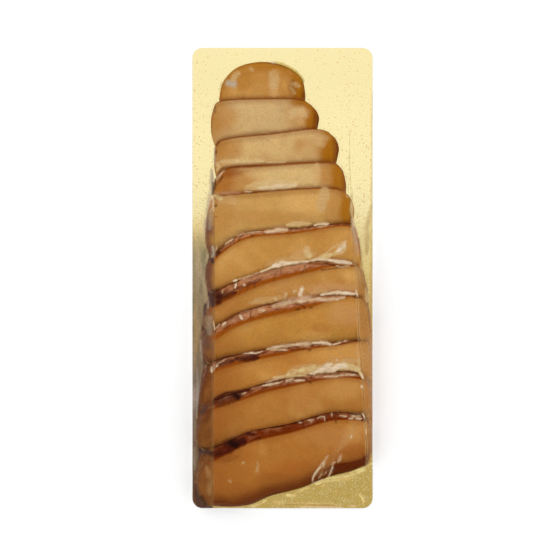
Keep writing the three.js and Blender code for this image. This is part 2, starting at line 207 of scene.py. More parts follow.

# In the order they are laid. rim, rimWidth, height, fullness and fall, which is for the left and the right
# end, are as on the solids, but the rims of the first three keep closer to the real outline.
# face: colour of the cut face. skin: how red and dark the skin of the rim is, 0 to 1.
# band: how much of the rim's width the skin covers, at even steps from its left end to its right.
# patches: spots of another tone on the face, with place, half width, half height and strength; filmSheen
# spots are painted sheen of the film over the roe.
slices = [
    {"rim": [(-31.6, 90), (-29.4, 98.5), (-22, 105.5), (-10.2, 108), (1.6, 105.8), (9.4, 100), (11.4, 92)],
     "rimWidth": (4.5, 4.5, 4.5), "height": 6.4, "fullness": 3.2, "fall": (8, 8),
     "face": (176, 126, 62), "skin": 0, "amberEnd": 6,
     "patches": [("deepAmber", 8.5, 97, 6, 10, 0.75), ("amber", -8, 106, 15, 3, 0.5),
                 ("amber", -20, 98, 6, 5, 0.35)]},
    {"rim": [(-35.8, 78.5), (-34.6, 84), (-30.8, 88.4), (-10.2, 89.5), (8.8, 89), (15.8, 84.9), (18.3, 80),
             (17.2, 75.4)],
     "rimWidth": (1.2, 1, 1.2), "height": 8, "fullness": 2, "fall": (9, 8),
     "face": (192, 160, 109), "skin": 0.1, "amberEnd": 7,
     "patches": [("dusky", -30, 79, 9, 10, 0.7), ("dusky", 9, 80, 9, 9, 0.45),
                 ("amber", 17, 79, 4.5, 8, 0.8), ("amber", 11, 88, 8, 3.2, 0.95)]},
    {"rim": [(-34.2, 60), (-32.8, 67), (-25.2, 70), (-6.2, 72), (16.8, 74.5), (25.2, 71), (28.2, 65),
             (26.9, 59)],
     "rimWidth": (1.4, 1.2, 1.2), "height": 9.4, "fullness": 1.8, "fall": (8, 9),
     "face": (195, 162, 108), "skin": 0.1, "amberEnd": 8,
     "patches": [("dusky", -28, 64, 9, 7, 0.8), ("amber", 23.5, 62, 7, 8, 0.95),
                 ("deepAmber", 26.5, 63, 4, 8, 0.7), ("dusky", 12, 65, 8, 8, 0.3)]},
    {"rim": [(-34.8, 44), (-33.2, 50), (-27.2, 55), (-8.8, 56.5), (21.2, 58), (29.2, 55), (31.8, 47)],
     "rimWidth": (3.2, 1.4, 1.2), "height": 10.4, "fullness": 1.7, "fall": (7, 7),
     "face": (198, 167, 112), "skin": 0.2, "amberEnd": 9,
     "patches": [("dusky", -23, 46, 15, 8, 0.8), ("rust", -31, 48, 8, 7, 0.8),
                 ("glow", -28, 52.4, 9, 3, 0.75), ("dusky", 24, 51, 8, 9, 0.85)]},
    {"rim": [(-38.8, 23), (-36.8, 35), (-32.2, 40.5), (-10.2, 43.2), (21.2, 45), (32.2, 42), (35.8, 35)],
     "rimWidth": (1.6, 1.4, 1.4), "height": 11.4, "fullness": 1.7, "fall": (9, 6),
     "face": (184, 143, 80), "skin": 0.2, "amberEnd": 8,
     "patches": [("dusky", 27, 36, 8, 12, 0.6), ("dusky", -30, 28, 8, 8, 0.5), ("dusky", -8, 30, 22, 4, 0.5),
                 ("tan", 10, 38, 14, 6, 0.6)]},
    {"rim": [(-38.8, 1.5), (-37.2, 8), (-30.2, 15.5), (-17.2, 22.8), (8.8, 25), (32.8, 27.2), (37.8, 20.5),
             (39.2, 10)],
     "rimWidth": (2.6, 2, 1.6), "height": 12.4, "fullness": 1.5, "fall": (8, 6),
     "face": (181, 132, 66), "skin": 0.3, "band": (1.3, 1.4, 1.5, 1, 1),
     "patches": [("rust", -24, 20, 8, 2.5, 0.5), ("dusky", 20, 12, 14, 5, 0.2),
                 ("dusky", 34, 18, 5, 6, 0.45)]},
    {"rim": [(-40, -19), (-37.8, -11), (-33.2, -6.5), (-16.2, 1), (3.8, 6.5), (21.2, 8.5), (37.2, 6.5),
             (41.2, -2.5), (42.8, -11)],
     "rimWidth": (6.2, 5.4, 1.6), "height": 13, "fullness": 1.3, "fall": (8, 6),
     "face": (175, 124, 60), "skin": 0.35, "band": (1.2, 1.2, 1.25, 1.2, 1.2, 1.2, 0.55, 0.3, 0.5),
     "patches": [("rust", -26, -13, 9, 5, 0.4), ("filmSheen", 25, -5.6, 17, 3.6, 0.8),
                 ("filmSheen", 0, -4, 12, 4, 0.3), ("tan", 34, 1, 5, 4, 0.5)]},
    {"rim": [(-40.8, -33.5), (-39.8, -27), (-33.2, -24), (-21.2, -17), (1.2, -11.2), (23.8, -8),
             (37.8, -8.8), (43.2, -16.5), (44.2, -25)],
     "rimWidth": (6.2, 6, 2), "height": 13.2, "fullness": 1.3, "fall": (8, 5.5),
     "face": (178, 127, 58), "skin": 0.35, "band": (1, 1, 1.1, 1.1, 1.1, 1.15, 0.6, 0.2, 0.5),
     "patches": [("filmSheen", 32, -18, 11, 7, 0.55), ("rust", 19, -25, 6, 3, 0.4)]},
    {"rim": [(-42, -57), (-39.8, -46), (-34.2, -41.5), (-21.2, -37.8), (3.8, -33.5), (26.2, -32),
             (41.2, -31), (44, -36), (44.2, -43.5)],
     "rimWidth": (6, 4.4, 1.8), "height": 13.4, "fullness": 1.3, "fall": (8, 5),
     "face": (177, 122, 55), "skin": 0.55, "band": (1, 1, 1, 1, 1, 0.75, 0.5, 0.2, 0.4),
     "patches": [("tan", 28, -38, 16, 6, 0.35), ("rust", 4, -40, 7, 4, 0.35)]},
    {"rim": [(-43.2, -77), (-41.8, -67), (-36.2, -61.5), (-21.2, -56.5), (-3.8, -51), (23.8, -46.5),
             (37.8, -47.5), (43.2, -51.5), (44.2, -60)],
     "rimWidth": (6.2, 5, 3), "height": 13.6, "fullness": 1.3, "fall": (8, 4.5),
     "face": (168, 113, 50), "skin": 0.7, "band": (0.85, 0.8, 1, 0.95, 0.6),
     "patches": [("rust", 8, -60, 10, 8, 0.4), ("tan", 30, -55, 12, 7, 0.3)]},
    {"rim": [(-42.8, -102), (-41.2, -91), (-37.8, -86), (-27.2, -81.5), (-16.2, -76.5), (3.8, -72.5),
             (23.8, -67), (38.8, -68.2), (43.2, -71.5), (44.2, -81)],
     "rimWidth": (6.2, 6.8, 4), "height": 13.6, "fullness": 2.6, "fall": (9, 4.5),
     "face": (164, 107, 44), "skin": 1, "band": (1.4, 0.95, 0.72, 0.8, 0.5),
     "patches": [("filmSheen", 24, -79, 18, 7, 0.2), ("rust", 34, -87, 12, 6, 0.8), ("rust", 7, -97, 16, 7, 1),
                 ("rust", -21, -88, 7, 4, 0.5), ("seam", -4, -101, 12, 4, 0.35),
                 ("seam", 36, -87, 9, 5, 0.25)],
     "front": [(-42.8, -102), (-39.8, -111.8), (-30.2, -114.2), (-17.2, -113.4), (-6.2, -109), (8.8, -105),
               (23.8, -99.2), (36.2, -96), (43, -92), (44.2, -81)]},
]

tones = {
    "amber": (156, 98, 14),         # thin roe at rounded ends, seen through its skin
    "deepAmber": (112, 54, 3),
    # the brown of a seam, also laid as painted shade above one
    "seam": (126, 66, 18),
    "glow": (140, 70, 8),           # light through the skin, just before the cut face
    "glowRed": (104, 36, 1),
    "membrane": (170, 114, 72),
    "membraneRed": (106, 40, 6),
    "pinkish": (186, 132, 98),
    "shadow": (46, 14, 5),
    "aside": (124, 77, 42),         # painted shade on the roe past the left fold
    "low": (92, 38, 3),             # the last slice's lower edge: its skin, with painted shade where it rounds down
    "liver": (84, 29, 2),
    "tan": (206, 162, 96),
    "dusky": (172, 120, 58),
    # painted sheen of the film over the roe
    "filmSheen": (186, 138, 88),
    "rust": (160, 96, 36),
}


def toneOf(name):
    return linear(tones[name])


def coat(colour, name, share, dim=1):  # one of the tones over a colour, darkened by dim
    return mix(colour, toneOf(name) * dim, share)


# How strongly the tones are laid on a slice, 0 to 1.
roePaint = {
    "mottle": 0.35,       # tan and rust patches all over a cut face
    "shade": 0.06,        # light and dark of it
    "fleck": 0.35,
    "lowerLeft": 0.85,    # rust on the lower slices, towards the left
    "besideSkin": 0.35,
    "paleEnd": 0.95,      # amber at the right end of a pale slice
    "darkEnd": 0.25,      # and of the others
    "leftEnd": 0.45,
    "crack": 0.5,
    "seamShade": 0.48,         # painted shade above a seam
    "overSeam": 0.42,     # and more of it right over the seam
    "aside": 0.6,         # painted shade past the left fold
}


def frontPoints(cut, share):
    if "front" in cut:
        return curveThrough(cut["front"])(share)
    left, right = np.array(cut["rim"][0]), np.array(cut["rim"][-1])
    middle = curveThrough(cut["rim"])(np.array([0.5]))[0]
    depth = (left[1] + right[1]) / 2 - (middle[1] - roe["breadth"])
    bow = (1 - np.abs(2 * share - 1) ** roe["frontSquareness"]) ** (1 / roe["frontSquareness"])
    return left + (right - left) * share[:, None] - np.stack([0 * bow, depth * bow], -1)


def endShare(distance, fall):
    return np.sqrt(1 - (1 - np.clip(distance / fall, 0, 1)) ** roe["endRound"])


def aboveRim(cut, x, y):  # how far a place lies above a slice's rim in the picture, and far past its ends
    curve = curveThrough(cut["rim"])(np.linspace(0, 1, 400))
    return y - np.interp(x, curve[:, 0], curve[:, 1], left=-200, right=-200)


def spread(even, crowded, plain):  # even steps from 0 to 1, crowded towards both ends
    return crowded * (1 - np.cos(np.pi * even)) / 2 + plain * even


def closedFaces(rows, columns):  # of two grids, one above the other, with a wall all round
    count = rows * columns
    edge = np.concatenate([np.arange(rows) * columns, (rows - 1) * columns + np.arange(1, columns),
                           np.arange(rows - 2, -1, -1) * columns + columns - 1,
                           np.arange(columns - 2, -1, -1)])
    wall = np.stack([edge[:-1], edge[:-1] + count, edge[1:] + count, edge[1:]], -1)
    return np.concatenate([gridFaces(rows, columns), gridFaces(rows, columns, count)[:, ::-1], wall])


def makeSlice(number, cut, following):
    seed = 100 * number
    share = spread(np.linspace(0, 1, roe["stations"]), *roe["stationSpread"])
    back, front = curveThrough(cut["rim"])(share), frontPoints(cut, share)
    breadth = np.linalg.norm(front - back, axis=1)
    rimWidth = np.minimum(np.interp(share, (0, 0.5, 1), cut["rimWidth"]), roe["widestRim"] * breadth)
    onFace = spread(np.linspace(0, 1, roe["faceRows"] + 1)[1:], *roe["rowSpread"])
    distance = np.concatenate([rimWidth[:, None] * np.linspace(0, 1, roe["rimRows"]),
                               rimWidth[:, None] + (breadth - rimWidth)[:, None] * onFace], 1)
    along = distance / np.maximum(breadth, 1e-6)[:, None]
    x = back[:, :1] + (front - back)[:, :1] * along
    y = back[:, 1:] + (front - back)[:, 1:] * along
    inRim = np.clip(distance / np.maximum(rimWidth, 1e-6)[:, None], 0, 1)
    behind = distance - rimWidth[:, None]
    forward = np.clip(behind / np.maximum(breadth - rimWidth, 1e-6)[:, None], 0, 1)

    toLeft, toRight = x - cut["rim"][0][0], cut["rim"][-1][0] - x
    ends = endShare(toLeft, cut["fall"][0]) * endShare(toRight, cut["fall"][1])
    face = cut["height"] * np.sqrt(np.maximum(1 - forward ** cut["fullness"], 0))
    z = card["top"] + roe["tipHeight"] + (face - roe["tipHeight"]) * ends
    under = heightAt(pile, x, y) + roe["lift"]
    foot = np.minimum(under[:, :1] + roe["thinnest"], z[:, roe["rimRows"] - 1:roe["rimRows"]])
    z = foot + (z - foot) * (1 - (1 - inRim) ** roe["rimRound"])
    way = np.concatenate([[0], np.cumsum(np.linalg.norm(np.diff(back, axis=0), axis=1))])[:, None] + 0 * x
    relief = roe["lumps"] * noise(x, y, roe["lumpSize"], seed) * smooth(0, 0.5, inRim)
    folds = roe["skinFolds"] * noise(way * 0.5, distance * 1.6, roe["foldSize"], seed + 5)
    z = np.maximum(z + (relief + folds * np.sin(np.pi * inRim)) * ends, under + roe["thinnest"])
    bottom = np.minimum(under, z - roe["bottomGap"])

    band = cut.get("band", (1, 1))
    bandWidth = rimWidth * np.interp(share, np.linspace(0, 1, len(band)), band)
    inBand = np.clip(distance / np.maximum(bandWidth, 1e-6)[:, None], 0, 1)
    pastBand = distance - bandWidth[:, None]
    ahead = breadth[:, None] - distance
    tone = paintSlice(cut, following, seed, x, y, way, distance, pastBand, inBand, ahead)
    places = np.concatenate([np.stack([x, y, level], -1).reshape(-1, 3) for level in (z, bottom)])
    piece = meshPiece("roeSlice%02d" % number, places, closedFaces(*x.shape),
                      colours={"tone": np.tile(tone, (2, 1))})
    addToPile(x, y, z)
    return piece


def paintSlice(cut, following, seed, x, y, way, distance, behind, inRim, ahead):
    skin = cut["skin"]
    pale = skin < roe["paleBelow"]
    colour = linear(cut["face"]) * np.ones(x.shape + (1,))
    patch = noise(x, y, 15, seed + 11)
    tan = smooth(0.0, 0.7, patch + 0.3 * noise(x, y, 5, seed + 14))
    rust = smooth(0.0, 0.7, -patch + 0.3 * noise(x, y, 5, seed + 15))
    colour = coat(colour, "tan", roePaint["mottle"] * tan)
    colour = coat(colour, "rust", roePaint["mottle"] * rust)
    colour = colour * (1 + roePaint["shade"] * noise(x, y, 3.5, seed + 12))[..., None]
    for name, px, py, wide, high, strength in cut["patches"]:
        off = np.hypot((x - px) / wide, (y - py) / high) + 0.2 * noise(x, y, 6, seed + 16)
        colour = coat(colour, name, strength * (1 - smooth(0.35, 1.25, off)))
    lowerLeft = roePaint["lowerLeft"] * smooth(-8, -34, x) * smooth(10, -60, y)
    colour = coat(colour, "rust", lowerLeft, 0.85)
    fleck = smooth(0.66, 0.76, noise(x, y, 1.7, seed + 13, 2))
    colour = coat(colour, "rust", roePaint["fleck"] * fleck)

    # the cut face, next to the skin and towards the ends
    wobble = 1.2 * noise(x, y, 5, seed + 21, 2)
    toLeft, toRight = x - cut["rim"][0][0], cut["rim"][-1][0] - x
    if skin > 0:
        colour = coat(colour, "seam", roePaint["besideSkin"] * (1 - smooth(0, 3, behind + 0.5 * wobble)))
    amberEnd = cut.get("amberEnd", roe["amberEnd"]) * (1 + 0.12 * wobble)
    rightEnd = roePaint["paleEnd"] if pale else roePaint["darkEnd"]
    colour = coat(colour, "amber", rightEnd * (1 - smooth(0.6, 1.1, toRight / amberEnd)))
    colour = coat(colour, "amber", roePaint["leftEnd"] * (1 - smooth(1, 9, toLeft + 1.6 * wobble)))

    # the skin of the rim: streaks, light through it next to the cut face, cracks, and the seam's line, brown
    # where the skin is pale and painted shadow in the gap where it is dark
    streak = noise(way * 0.3, distance, 0.9, seed + 31)
    mottle = noise(way, distance, 4, seed + 32)
    band = mix(toneOf("membrane"), toneOf("membraneRed"), np.clip(skin * 1.1 - 0.1 + 0.7 * mottle, 0, 1))
    band = coat(band, "membraneRed", 0.5 * smooth(0.05, 0.45, streak), 0.8)
    band = coat(band, "pinkish", (0.6 - 0.5 * skin) * smooth(0.05, 0.45, -streak))
    glow = mix(toneOf("glow"), toneOf("glowRed"), smooth(0.35, 1, skin + 0 * x))
    band = mix(band, glow, smooth(0.5, 0.72, inRim + 0.14 * noise(way, distance, 2.5, seed + 33)))
    band = coat(band, "glow", 0.7 * smooth(0.78, 1, inRim))
    crack = 1 - smooth(0.0, 0.03, np.abs(noise(way + 0.6 * distance, 0.25 * distance, 9, seed + 34, 2)))
    band = coat(band, "shadow", roePaint["crack"] * crack)
    line = roe["seamLine"] * np.maximum(0.3, 1 + 1.1 * noise(way, way, 4, seed + 36))
    lineTone = mix(toneOf("seam"), toneOf("shadow"), min(1, skin * 1.4))
    band = mix(band, lineTone, 1 - smooth(line * 0.6, line, distance))
    if pale:  # next to no skin shows
        reach = 0.6 * max(cut["rimWidth"]) + 0.3
        band = mix(toneOf("seam"), colour, smooth(0.1, 1, distance / reach))
    if skin == 0:  # the small end slice is amber all round
        inside = np.minimum(distance, toRight + 0.5)
        colour = coat(colour, "amber", 0.8 * (1 - smooth(0, 8, inside + wobble)))
        colour = coat(colour, "deepAmber", (1 - smooth(0, 1.5, inside)) * smooth(-30, 5, x))
        band = colour
    colour = mix(band, colour, smooth(0.85, 1.1, inRim + smooth(0, 1, behind) * 0.5))
    if pale:
        colour = coat(colour, "deepAmber", 0.85 * (1 - smooth(0.2, 3.2, toRight + 0.6 * wobble)))
        colour = coat(colour, "seam", 0.5 * (1 - smooth(0.2, 1.6, toLeft)))

    # painted shade on the roe above the next slice's rim, or the darkened lower edge of the last slice
    if following:
        over = aboveRim(following, x, y)
        seamShade = 1 - smooth(0, roe["seamShadeWidth"] * (1 + 0.4 * noise(x, y, 6, seed + 41, 2)), over)
        colour = coat(colour, "seam", roePaint["seamShade"] * seamShade)
        colour = coat(colour, "seam", roePaint["overSeam"] * (1 - smooth(0, 0.8, over)))
    else:
        # the skin darkens the lower edge, with painted shade where it rounds down and a thin painted shadow
        # right at the edge
        ragged = ahead + 1.2 * noise(x, y, 7, seed + 42)
        right = smooth(18, 27, x)
        colour = coat(colour, "rust", 0.9 * (1 - smooth(4, 15, ragged)), 0.75)
        colour = coat(colour, "low", 0.95 * (1 - smooth(1.5, 8.5, ragged)))
        colour = coat(colour, "liver", 0.97 * (1 - smooth(4.6, 5.8, ragged)) * right)
        colour = coat(colour, "shadow", 0.25 * (1 - smooth(0.2, 1.4, ragged)))
    # painted shade on the roe past the left fold, where the ends fall away
    if not pale:
        colour = coat(colour, "aside", roePaint["aside"] * smooth(*roe["aside"], x))
    return colour.reshape(-1, 3)


# ---- shader helpers

def newGroup(name, inputs, outputs):
    group = bpy.data.node_groups.new(name, "ShaderNodeTree")
    for label, kind, value in inputs:
        group.interface.new_socket(label, in_out="INPUT", socket_type=kind).default_value = value
    for label, kind in outputs:
        group.interface.new_socket(label, in_out="OUTPUT", socket_type=kind)
    return group, group.nodes.new("NodeGroupInput"), group.nodes.new("NodeGroupOutput")


def addNode(tree, kind, values=None, **settings):
    node = tree.nodes.new(kind)
    for key, value in settings.items():
        setattr(node, key, value)
    for key, value in (values or {}).items():
        if isinstance(value, bpy.types.NodeSocket):
            tree.links.new(value, node.inputs[key])
        else:
            node.inputs[key].default_value = value
    return node


def calculate(tree, operation, a, b, clamp=False):
    return addNode(tree, "ShaderNodeMath", {0: a, 1: b}, operation=operation, use_clamp=clamp).outputs[0]


def ramp(tree, value, low, high, out=(0, 1)):  # out[0] up to low, out[1] from high on
    values = {"Value": value, "From Min": low, "From Max": high, "To Min": out[0], "To Max": out[1]}
    return addNode(tree, "ShaderNodeMapRange", values).outputs[0]


def blend(tree, share, a, b, kind="MIX"):
    node = addNode(tree, "ShaderNodeMix", {0: share, 6: a, 7: b}, data_type="RGBA", blend_type=kind)
    return node.outputs[2]


def grey(tree, value):
    return addNode(tree, "ShaderNodeCombineColor", {0: value, 1: value, 2: value}).outputs[0]


def unevenness(tree, where, scale, detail=2, roughness=0.5):
    values = {"Vector": where, "Scale": scale, "Detail": detail, "Roughness": roughness}
    return addNode(tree, "ShaderNodeTexNoise", values).outputs["Fac"]


def bumpFrom(tree, height, strength, distance):
    values = {"Strength": strength, "Distance": distance, "Height": height}
    return addNode(tree, "ShaderNodeBump", values).outputs[0]


def newMaterial(name, values):
    material = bpy.data.materials.new(name)
    material.use_nodes = True
    shader = material.node_tree.nodes["Principled BSDF"]
    for key, value in values.items():
        shader.inputs[key].default_value = value
    return material, material.node_tree, shader


def feed(tree, shader, sockets):
    for key, socket in sockets.items():
        tree.links.new(socket, shader.inputs[key])


# ---- the look of the roe

roeLook = {"Roughness": 0.55, "Subsurface Weight": 0.5, "Subsurface Radius": (0.8, 0.45, 0.15),
           "Subsurface Scale": 0.0005, "Specular IOR Level": 0.02}

roeGrain = {
    "size": 0.8,
    "depth": 0.09,        # how much lighter and darker the eggs are
    "haze": 900.0,        # scale of the unevenness over them
    "bump": 0.35,
    "relief": 0.2,
}


def grainGroup():  # fine eggs: a tint for the colour and a height for the bump
    group, ins, outs = newGroup("fineGrain", [("Size", "NodeSocketFloat", 0.0006),
                                              ("Depth", "NodeSocketFloat", 0.1)],
                                [("Tint", "NodeSocketColor"), ("Height", "NodeSocketFloat")])
    where = addNode(group, "ShaderNodeTexCoord").outputs["Object"]
    scale = calculate(group, "DIVIDE", 1.0, ins.outputs["Size"])
    eggs = addNode(group, "ShaderNodeTexVoronoi", {"Vector": where, "Scale": scale})
    haze = unevenness(group, where, roeGrain["haze"], 3)
    both = calculate(group, "ADD", eggs.outputs["Distance"], haze)
    low = calculate(group, "SUBTRACT", 1.0, ins.outputs["Depth"])
    high = calculate(group, "ADD", 1.0, ins.outputs["Depth"])
    group.links.new(grey(group, ramp(group, both, 0.4, 1.4, (high, low))), outs.inputs["Tint"])
    group.links.new(both, outs.inputs["Height"])
    return group


def roeMaterial(grain):
    material, tree, shader = newMaterial("smokedRoe", roeLook)
    tone = addNode(tree, "ShaderNodeAttribute", attribute_name="tone")
    speckle = addNode(tree, "ShaderNodeGroup", node_tree=grain)
    speckle.inputs["Size"].default_value = roeGrain["size"] * mm
    speckle.inputs["Depth"].default_value = roeGrain["depth"]
    feed(tree, shader, {
        "Base Color": blend(tree, 1.0, tone.outputs["Color"], speckle.outputs["Tint"], "MULTIPLY"),
        "Normal": bumpFrom(tree, speckle.outputs["Height"], roeGrain["bump"], roeGrain["relief"] * mm)})
    return material


# ---- the gold card

foil = {                              # lengths in metres
    "gold": (0.72, 0.62, 0.325, 1),
    "light": (0.96, 1.14),            # painted lightness of the gold, from "lightFrom" down, for how much light it gives back there
    "lightFrom": (0.1, 0.035),
    "deep": (0.74, 0.51, 0.13, 1),    # painted shade: a darker, more orange gold on the lower part of the card, which gives back less light
    "deepFrom": (0.036, -0.015),
    "core": (0.78, 0.76, 0.72, 1),    # plain board, at the edges and the back
    "roughness": 0.2,
    "fleck": 0.0004,                  # size of the fine flecks
    "fleckShade": 0.88,
    "dot": 0.0011,                    # size of the brown specks
    "speck": (0.6, 0.38, 0.14, 1),
    "specks": (0.06, 0.2),            # how many there are, near the middle and at the sides
    "speckStrength": 0.7,
    "line": 0.0333,                   # where a line of specks runs down the right side
    "lineWidth": 0.0005,              # to each side
    "lineSpecks": 0.45,
    "glint": (1, 0.9, 0.5, 1),        # painted glints on the lower part
    "glintStrength": 0.8,
    "bump": 0.5,
    "relief": 0.00005,
}


def cardMaterial():
    material, tree, shader = newMaterial("goldCard", {"Roughness": foil["roughness"]})
    place = addNode(tree, "ShaderNodeTexCoord")
    onCard = place.outputs["Object"]
    where = addNode(tree, "ShaderNodeSeparateXYZ", {0: onCard})
    facing = addNode(tree, "ShaderNodeSeparateXYZ", {0: place.outputs["Normal"]})
    onTop = ramp(tree, facing.outputs["Z"], 0.4, 0.6)
    # painted light and shade down the card: the gold's lightness changes from the top down, and the lower
    # part turns to the darker gold
    lower = ramp(tree, where.outputs["Y"], *foil["deepFrom"])
    fleck = unevenness(tree, onCard, 0.5 / foil["fleck"], 3, 0.6)
    broad = unevenness(tree, onCard, 60)
    light = grey(tree, ramp(tree, where.outputs["Y"], *foil["lightFrom"], foil["light"]))
    shade = grey(tree, ramp(tree, fleck, 0.28, 0.42, (foil["fleckShade"], 1)))
    gold = blend(tree, lower, blend(tree, 1.0, foil["gold"], light, "MULTIPLY"), foil["deep"])
    gold = blend(tree, 1.0, gold, shade, "MULTIPLY")

    dots = addNode(tree, "ShaderNodeTexVoronoi", {"Vector": onCard, "Scale": 1 / foil["dot"]})
    lot = addNode(tree, "ShaderNodeSeparateColor", {0: dots.outputs["Color"]})
    core = ramp(tree, dots.outputs["Distance"], 0.45, 0.25)
    aside = ramp(tree, calculate(tree, "ABSOLUTE", where.outputs["X"], 0), 0.02, 0.045, foil["specks"])
    speck = calculate(tree, "MULTIPLY", calculate(tree, "LESS_THAN", lot.outputs[0], aside), core)
    line = calculate(tree, "ABSOLUTE", calculate(tree, "SUBTRACT", where.outputs["X"], foil["line"]), 0)
    line = calculate(tree, "MULTIPLY", calculate(tree, "LESS_THAN", line, foil["lineWidth"]),
                     calculate(tree, "LESS_THAN", lot.outputs[1], foil["lineSpecks"]))
    speck = calculate(tree, "MAXIMUM", speck, calculate(tree, "MULTIPLY", line, core))
    gold = blend(tree, calculate(tree, "MULTIPLY", speck, foil["speckStrength"]), gold, foil["speck"])

    # painted glints: bright flecks laid into the lower gold's colour
    sparkle = unevenness(tree, onCard, 1.6 / foil["dot"], 2, 0.7)
    bright = ramp(tree, sparkle, 0.54, 0.68, (0, foil["glintStrength"]))
    gold = blend(tree, calculate(tree, "MULTIPLY", bright, lower), gold, foil["glint"])
    height = calculate(tree, "ADD", fleck, broad)
    feed(tree, shader, {"Base Color": blend(tree, onTop, foil["core"], gold), "Metallic": onTop,
                        "Normal": bumpFrom(tree, height, foil["bump"], foil["relief"])})
    return material


# ---- the film

film = {
    "clear": 0.12,               # over what it touches
    "least": 0.03,               # the same, after it has been made uneven
    "balls": (2.5, 6.5),         # the film bridges hollows narrower than these balls, above and below
    "change": (40, 20),          # between which heights on the card it goes from one to the other
    "edge": 0.02,                # over the card at the card's edge
    "edgeSlope": 14,             # how steeply it may rise from there
    "blurs": (0.5, 0.35),
    "air": (0.15, 0.9),          # from which gap behind the film air shows, and where it is full
    "crinkle": 0.03,
    "crinkleBy": (0.3, 3),       # share of it where the film clings, and what is added over air
    "inBox": 0.01,               # how far it stays under the top of the solids
    "foldZone": 1.2,             # the mesh is finer within this of a fold
    "columns": (16, 14, 140),    # of the mesh: at each side, beside each fold, and between them
    "mirror": 0.03,              # the film's own plain shine
    "back": 0.14,                # light given back at a slant, over that of one plain face
    "straight": 0.04,            # what a plain face gives back straight on, left out
    "most": 0.05,                # the largest share given back at a slant
    "ripple": 900.0,             # scale of the ripples, which the next two draw out and turn
    "stretch": (0.3, 1.0, 1.0),
    "turn": (0, 0, -0.2),
    "relief": 0.0003,            # in metres
    "bump": (0.08, 0.6),         # where it clings, and what is added over air
    "rough": (0.2, 0.07),        # where it clings, and over air
    "matt": 0.3,                 # roughness that a full coat adds
    "broken": (0.82, 1),         # least and most of a coat that is left as the ripples break it up
    "dim": 0.8,                  # of a tint's strength, as the light here is that much brighter
    "kept": 0.85,                # of the light that a coat takes from what is under it, added to the coat
    "under": [(60, (204, 170, 116)), (20, (188, 138, 74)), (-60, (170, 116, 60))],  # colour by height
}

# Straight folds of the bag along the pack, from top to bottom.
creases = {
    "left": [(-34, 50), (-34, -31), (-34.6, -60), (-34.8, -112)],
    "right": [(34.6, 40), (34.6, 26), (36, 6.5), (37.2, -9), (38, -30), (39.8, -48), (41, -70), (42.2, -93)],
    "top": (46, 38),         # between which heights on the card they begin
    "bottom": 3,             # past its last point, where one ends
    "height": 0.12,
    "width": 0.3,
    "bright": {"left": 0.16, "right": 0.6},  # how strong the painted highlight is on the pair of lines beside each
    "brightWidth": 0.2,
    "brightAside": 0.42,
    "dark": 0.4,             # of the painted shade on the line between them
    "darkWidth": 0.22,
}

# Where the roe ends behind the film at the left, from top to bottom.
roeEnds = [(-37, 40), (-38.5, 26), (-38, 15), (-36.6, 11), (-38.4, 5), (-38.5, 0), (-37.6, -6),
           (-37.2, -11), (-39.6, -16), (-40, -22), (-41, -30), (-40, -38), (-39.5, -44), (-41, -54),
           (-42, -62), (-42.6, -68), (-43.2, -76), (-42.6, -84), (-41.6, -88), (-42.6, -94),
           (-43.8, -102), (-44.2, -112)]

# Colours of what shows in the film or right behind it. Most are painted highlights, reflections and shade,
# as noted at each.
tints = {
    # painted highlight: film over air, catching the light
    "milkyHighlight": (230, 207, 178),
    # painted highlight, softer and yellower
    "cream": (218, 192, 136),
    # painted reflection of windows on the upper slices, and of film wrinkles
    "wheat": (204, 172, 118),
    # the skin's pink under the film, with painted film sheen over it
    "rose": (192, 142, 114),
    # painted grey sheen of the film's folds, which over bare gold reads as grey shade
    "greySheenAndShade": (186, 172, 158),
    # painted shade and the roe's colour thrown onto the gold beside slice 1
    "olive": (186, 156, 50),
    # painted glints of the crumpled gold by the roe's lower edge
    "glint": (242, 224, 150),
    # painted shade: dark lines in seams, creases and along edges
    "umber": (98, 46, 14),
    # painted shade in hollows and pockets, partly the dark red skin
    "maroon": (62, 18, 9),
    # painted shade: black holes and voids
    "voidShade": (20, 4, 2),
    # painted shade in pockets by the slices' left ends
    "plum": (60, 42, 42),
    # painted shade on bare card in the notches between the slices' ends
    "notch": (84, 54, 46),
    "edging": (172, 142, 88),
}

# From how far out a stroke of each tint fades, in half widths.
soft = {"rose": 0.1, "greySheenAndShade": 0.2, "edging": 0.1, "plum": 0.1, "maroon": 0.15, "voidShade": 0.1, "umber": 0.1,
        "wheat": 0.5, "cream": 0.35, "olive": 0.1, "milkyHighlight": 0.4, "glint": 0.3}

# The slack film down the left edge, from top to bottom: height on the card and colour. The colour is the
# gold seen through it, with painted sheen and shade.
slackTints = [(30, (212, 194, 146)), (14, (156, 140, 110)), (0, (150, 133, 106)), (-25, (148, 124, 94)),
              (-45, (134, 112, 92)), (-60, (144, 130, 120)), (-78, (116, 90, 74)), (-92, (120, 96, 74)),
              (-104, (94, 60, 42))]

# The shaded ends of the slices between the left fold and where they end, likewise.
endTints = [(0, (112, 70, 54)), (-20, (130, 96, 76)), (-34, (122, 84, 62)), (-50, (102, 52, 24)),
            (-72, (108, 62, 26)), (-95, (122, 74, 30))]

# The film past the right fold, likewise: the roe's ends seen through it, with painted film haze.
sideTints = [(8, (160, 112, 58)), (-20, (172, 122, 66)), (-40, (196, 148, 92)), (-60, (186, 132, 76)),
             (-80, (164, 112, 58))]
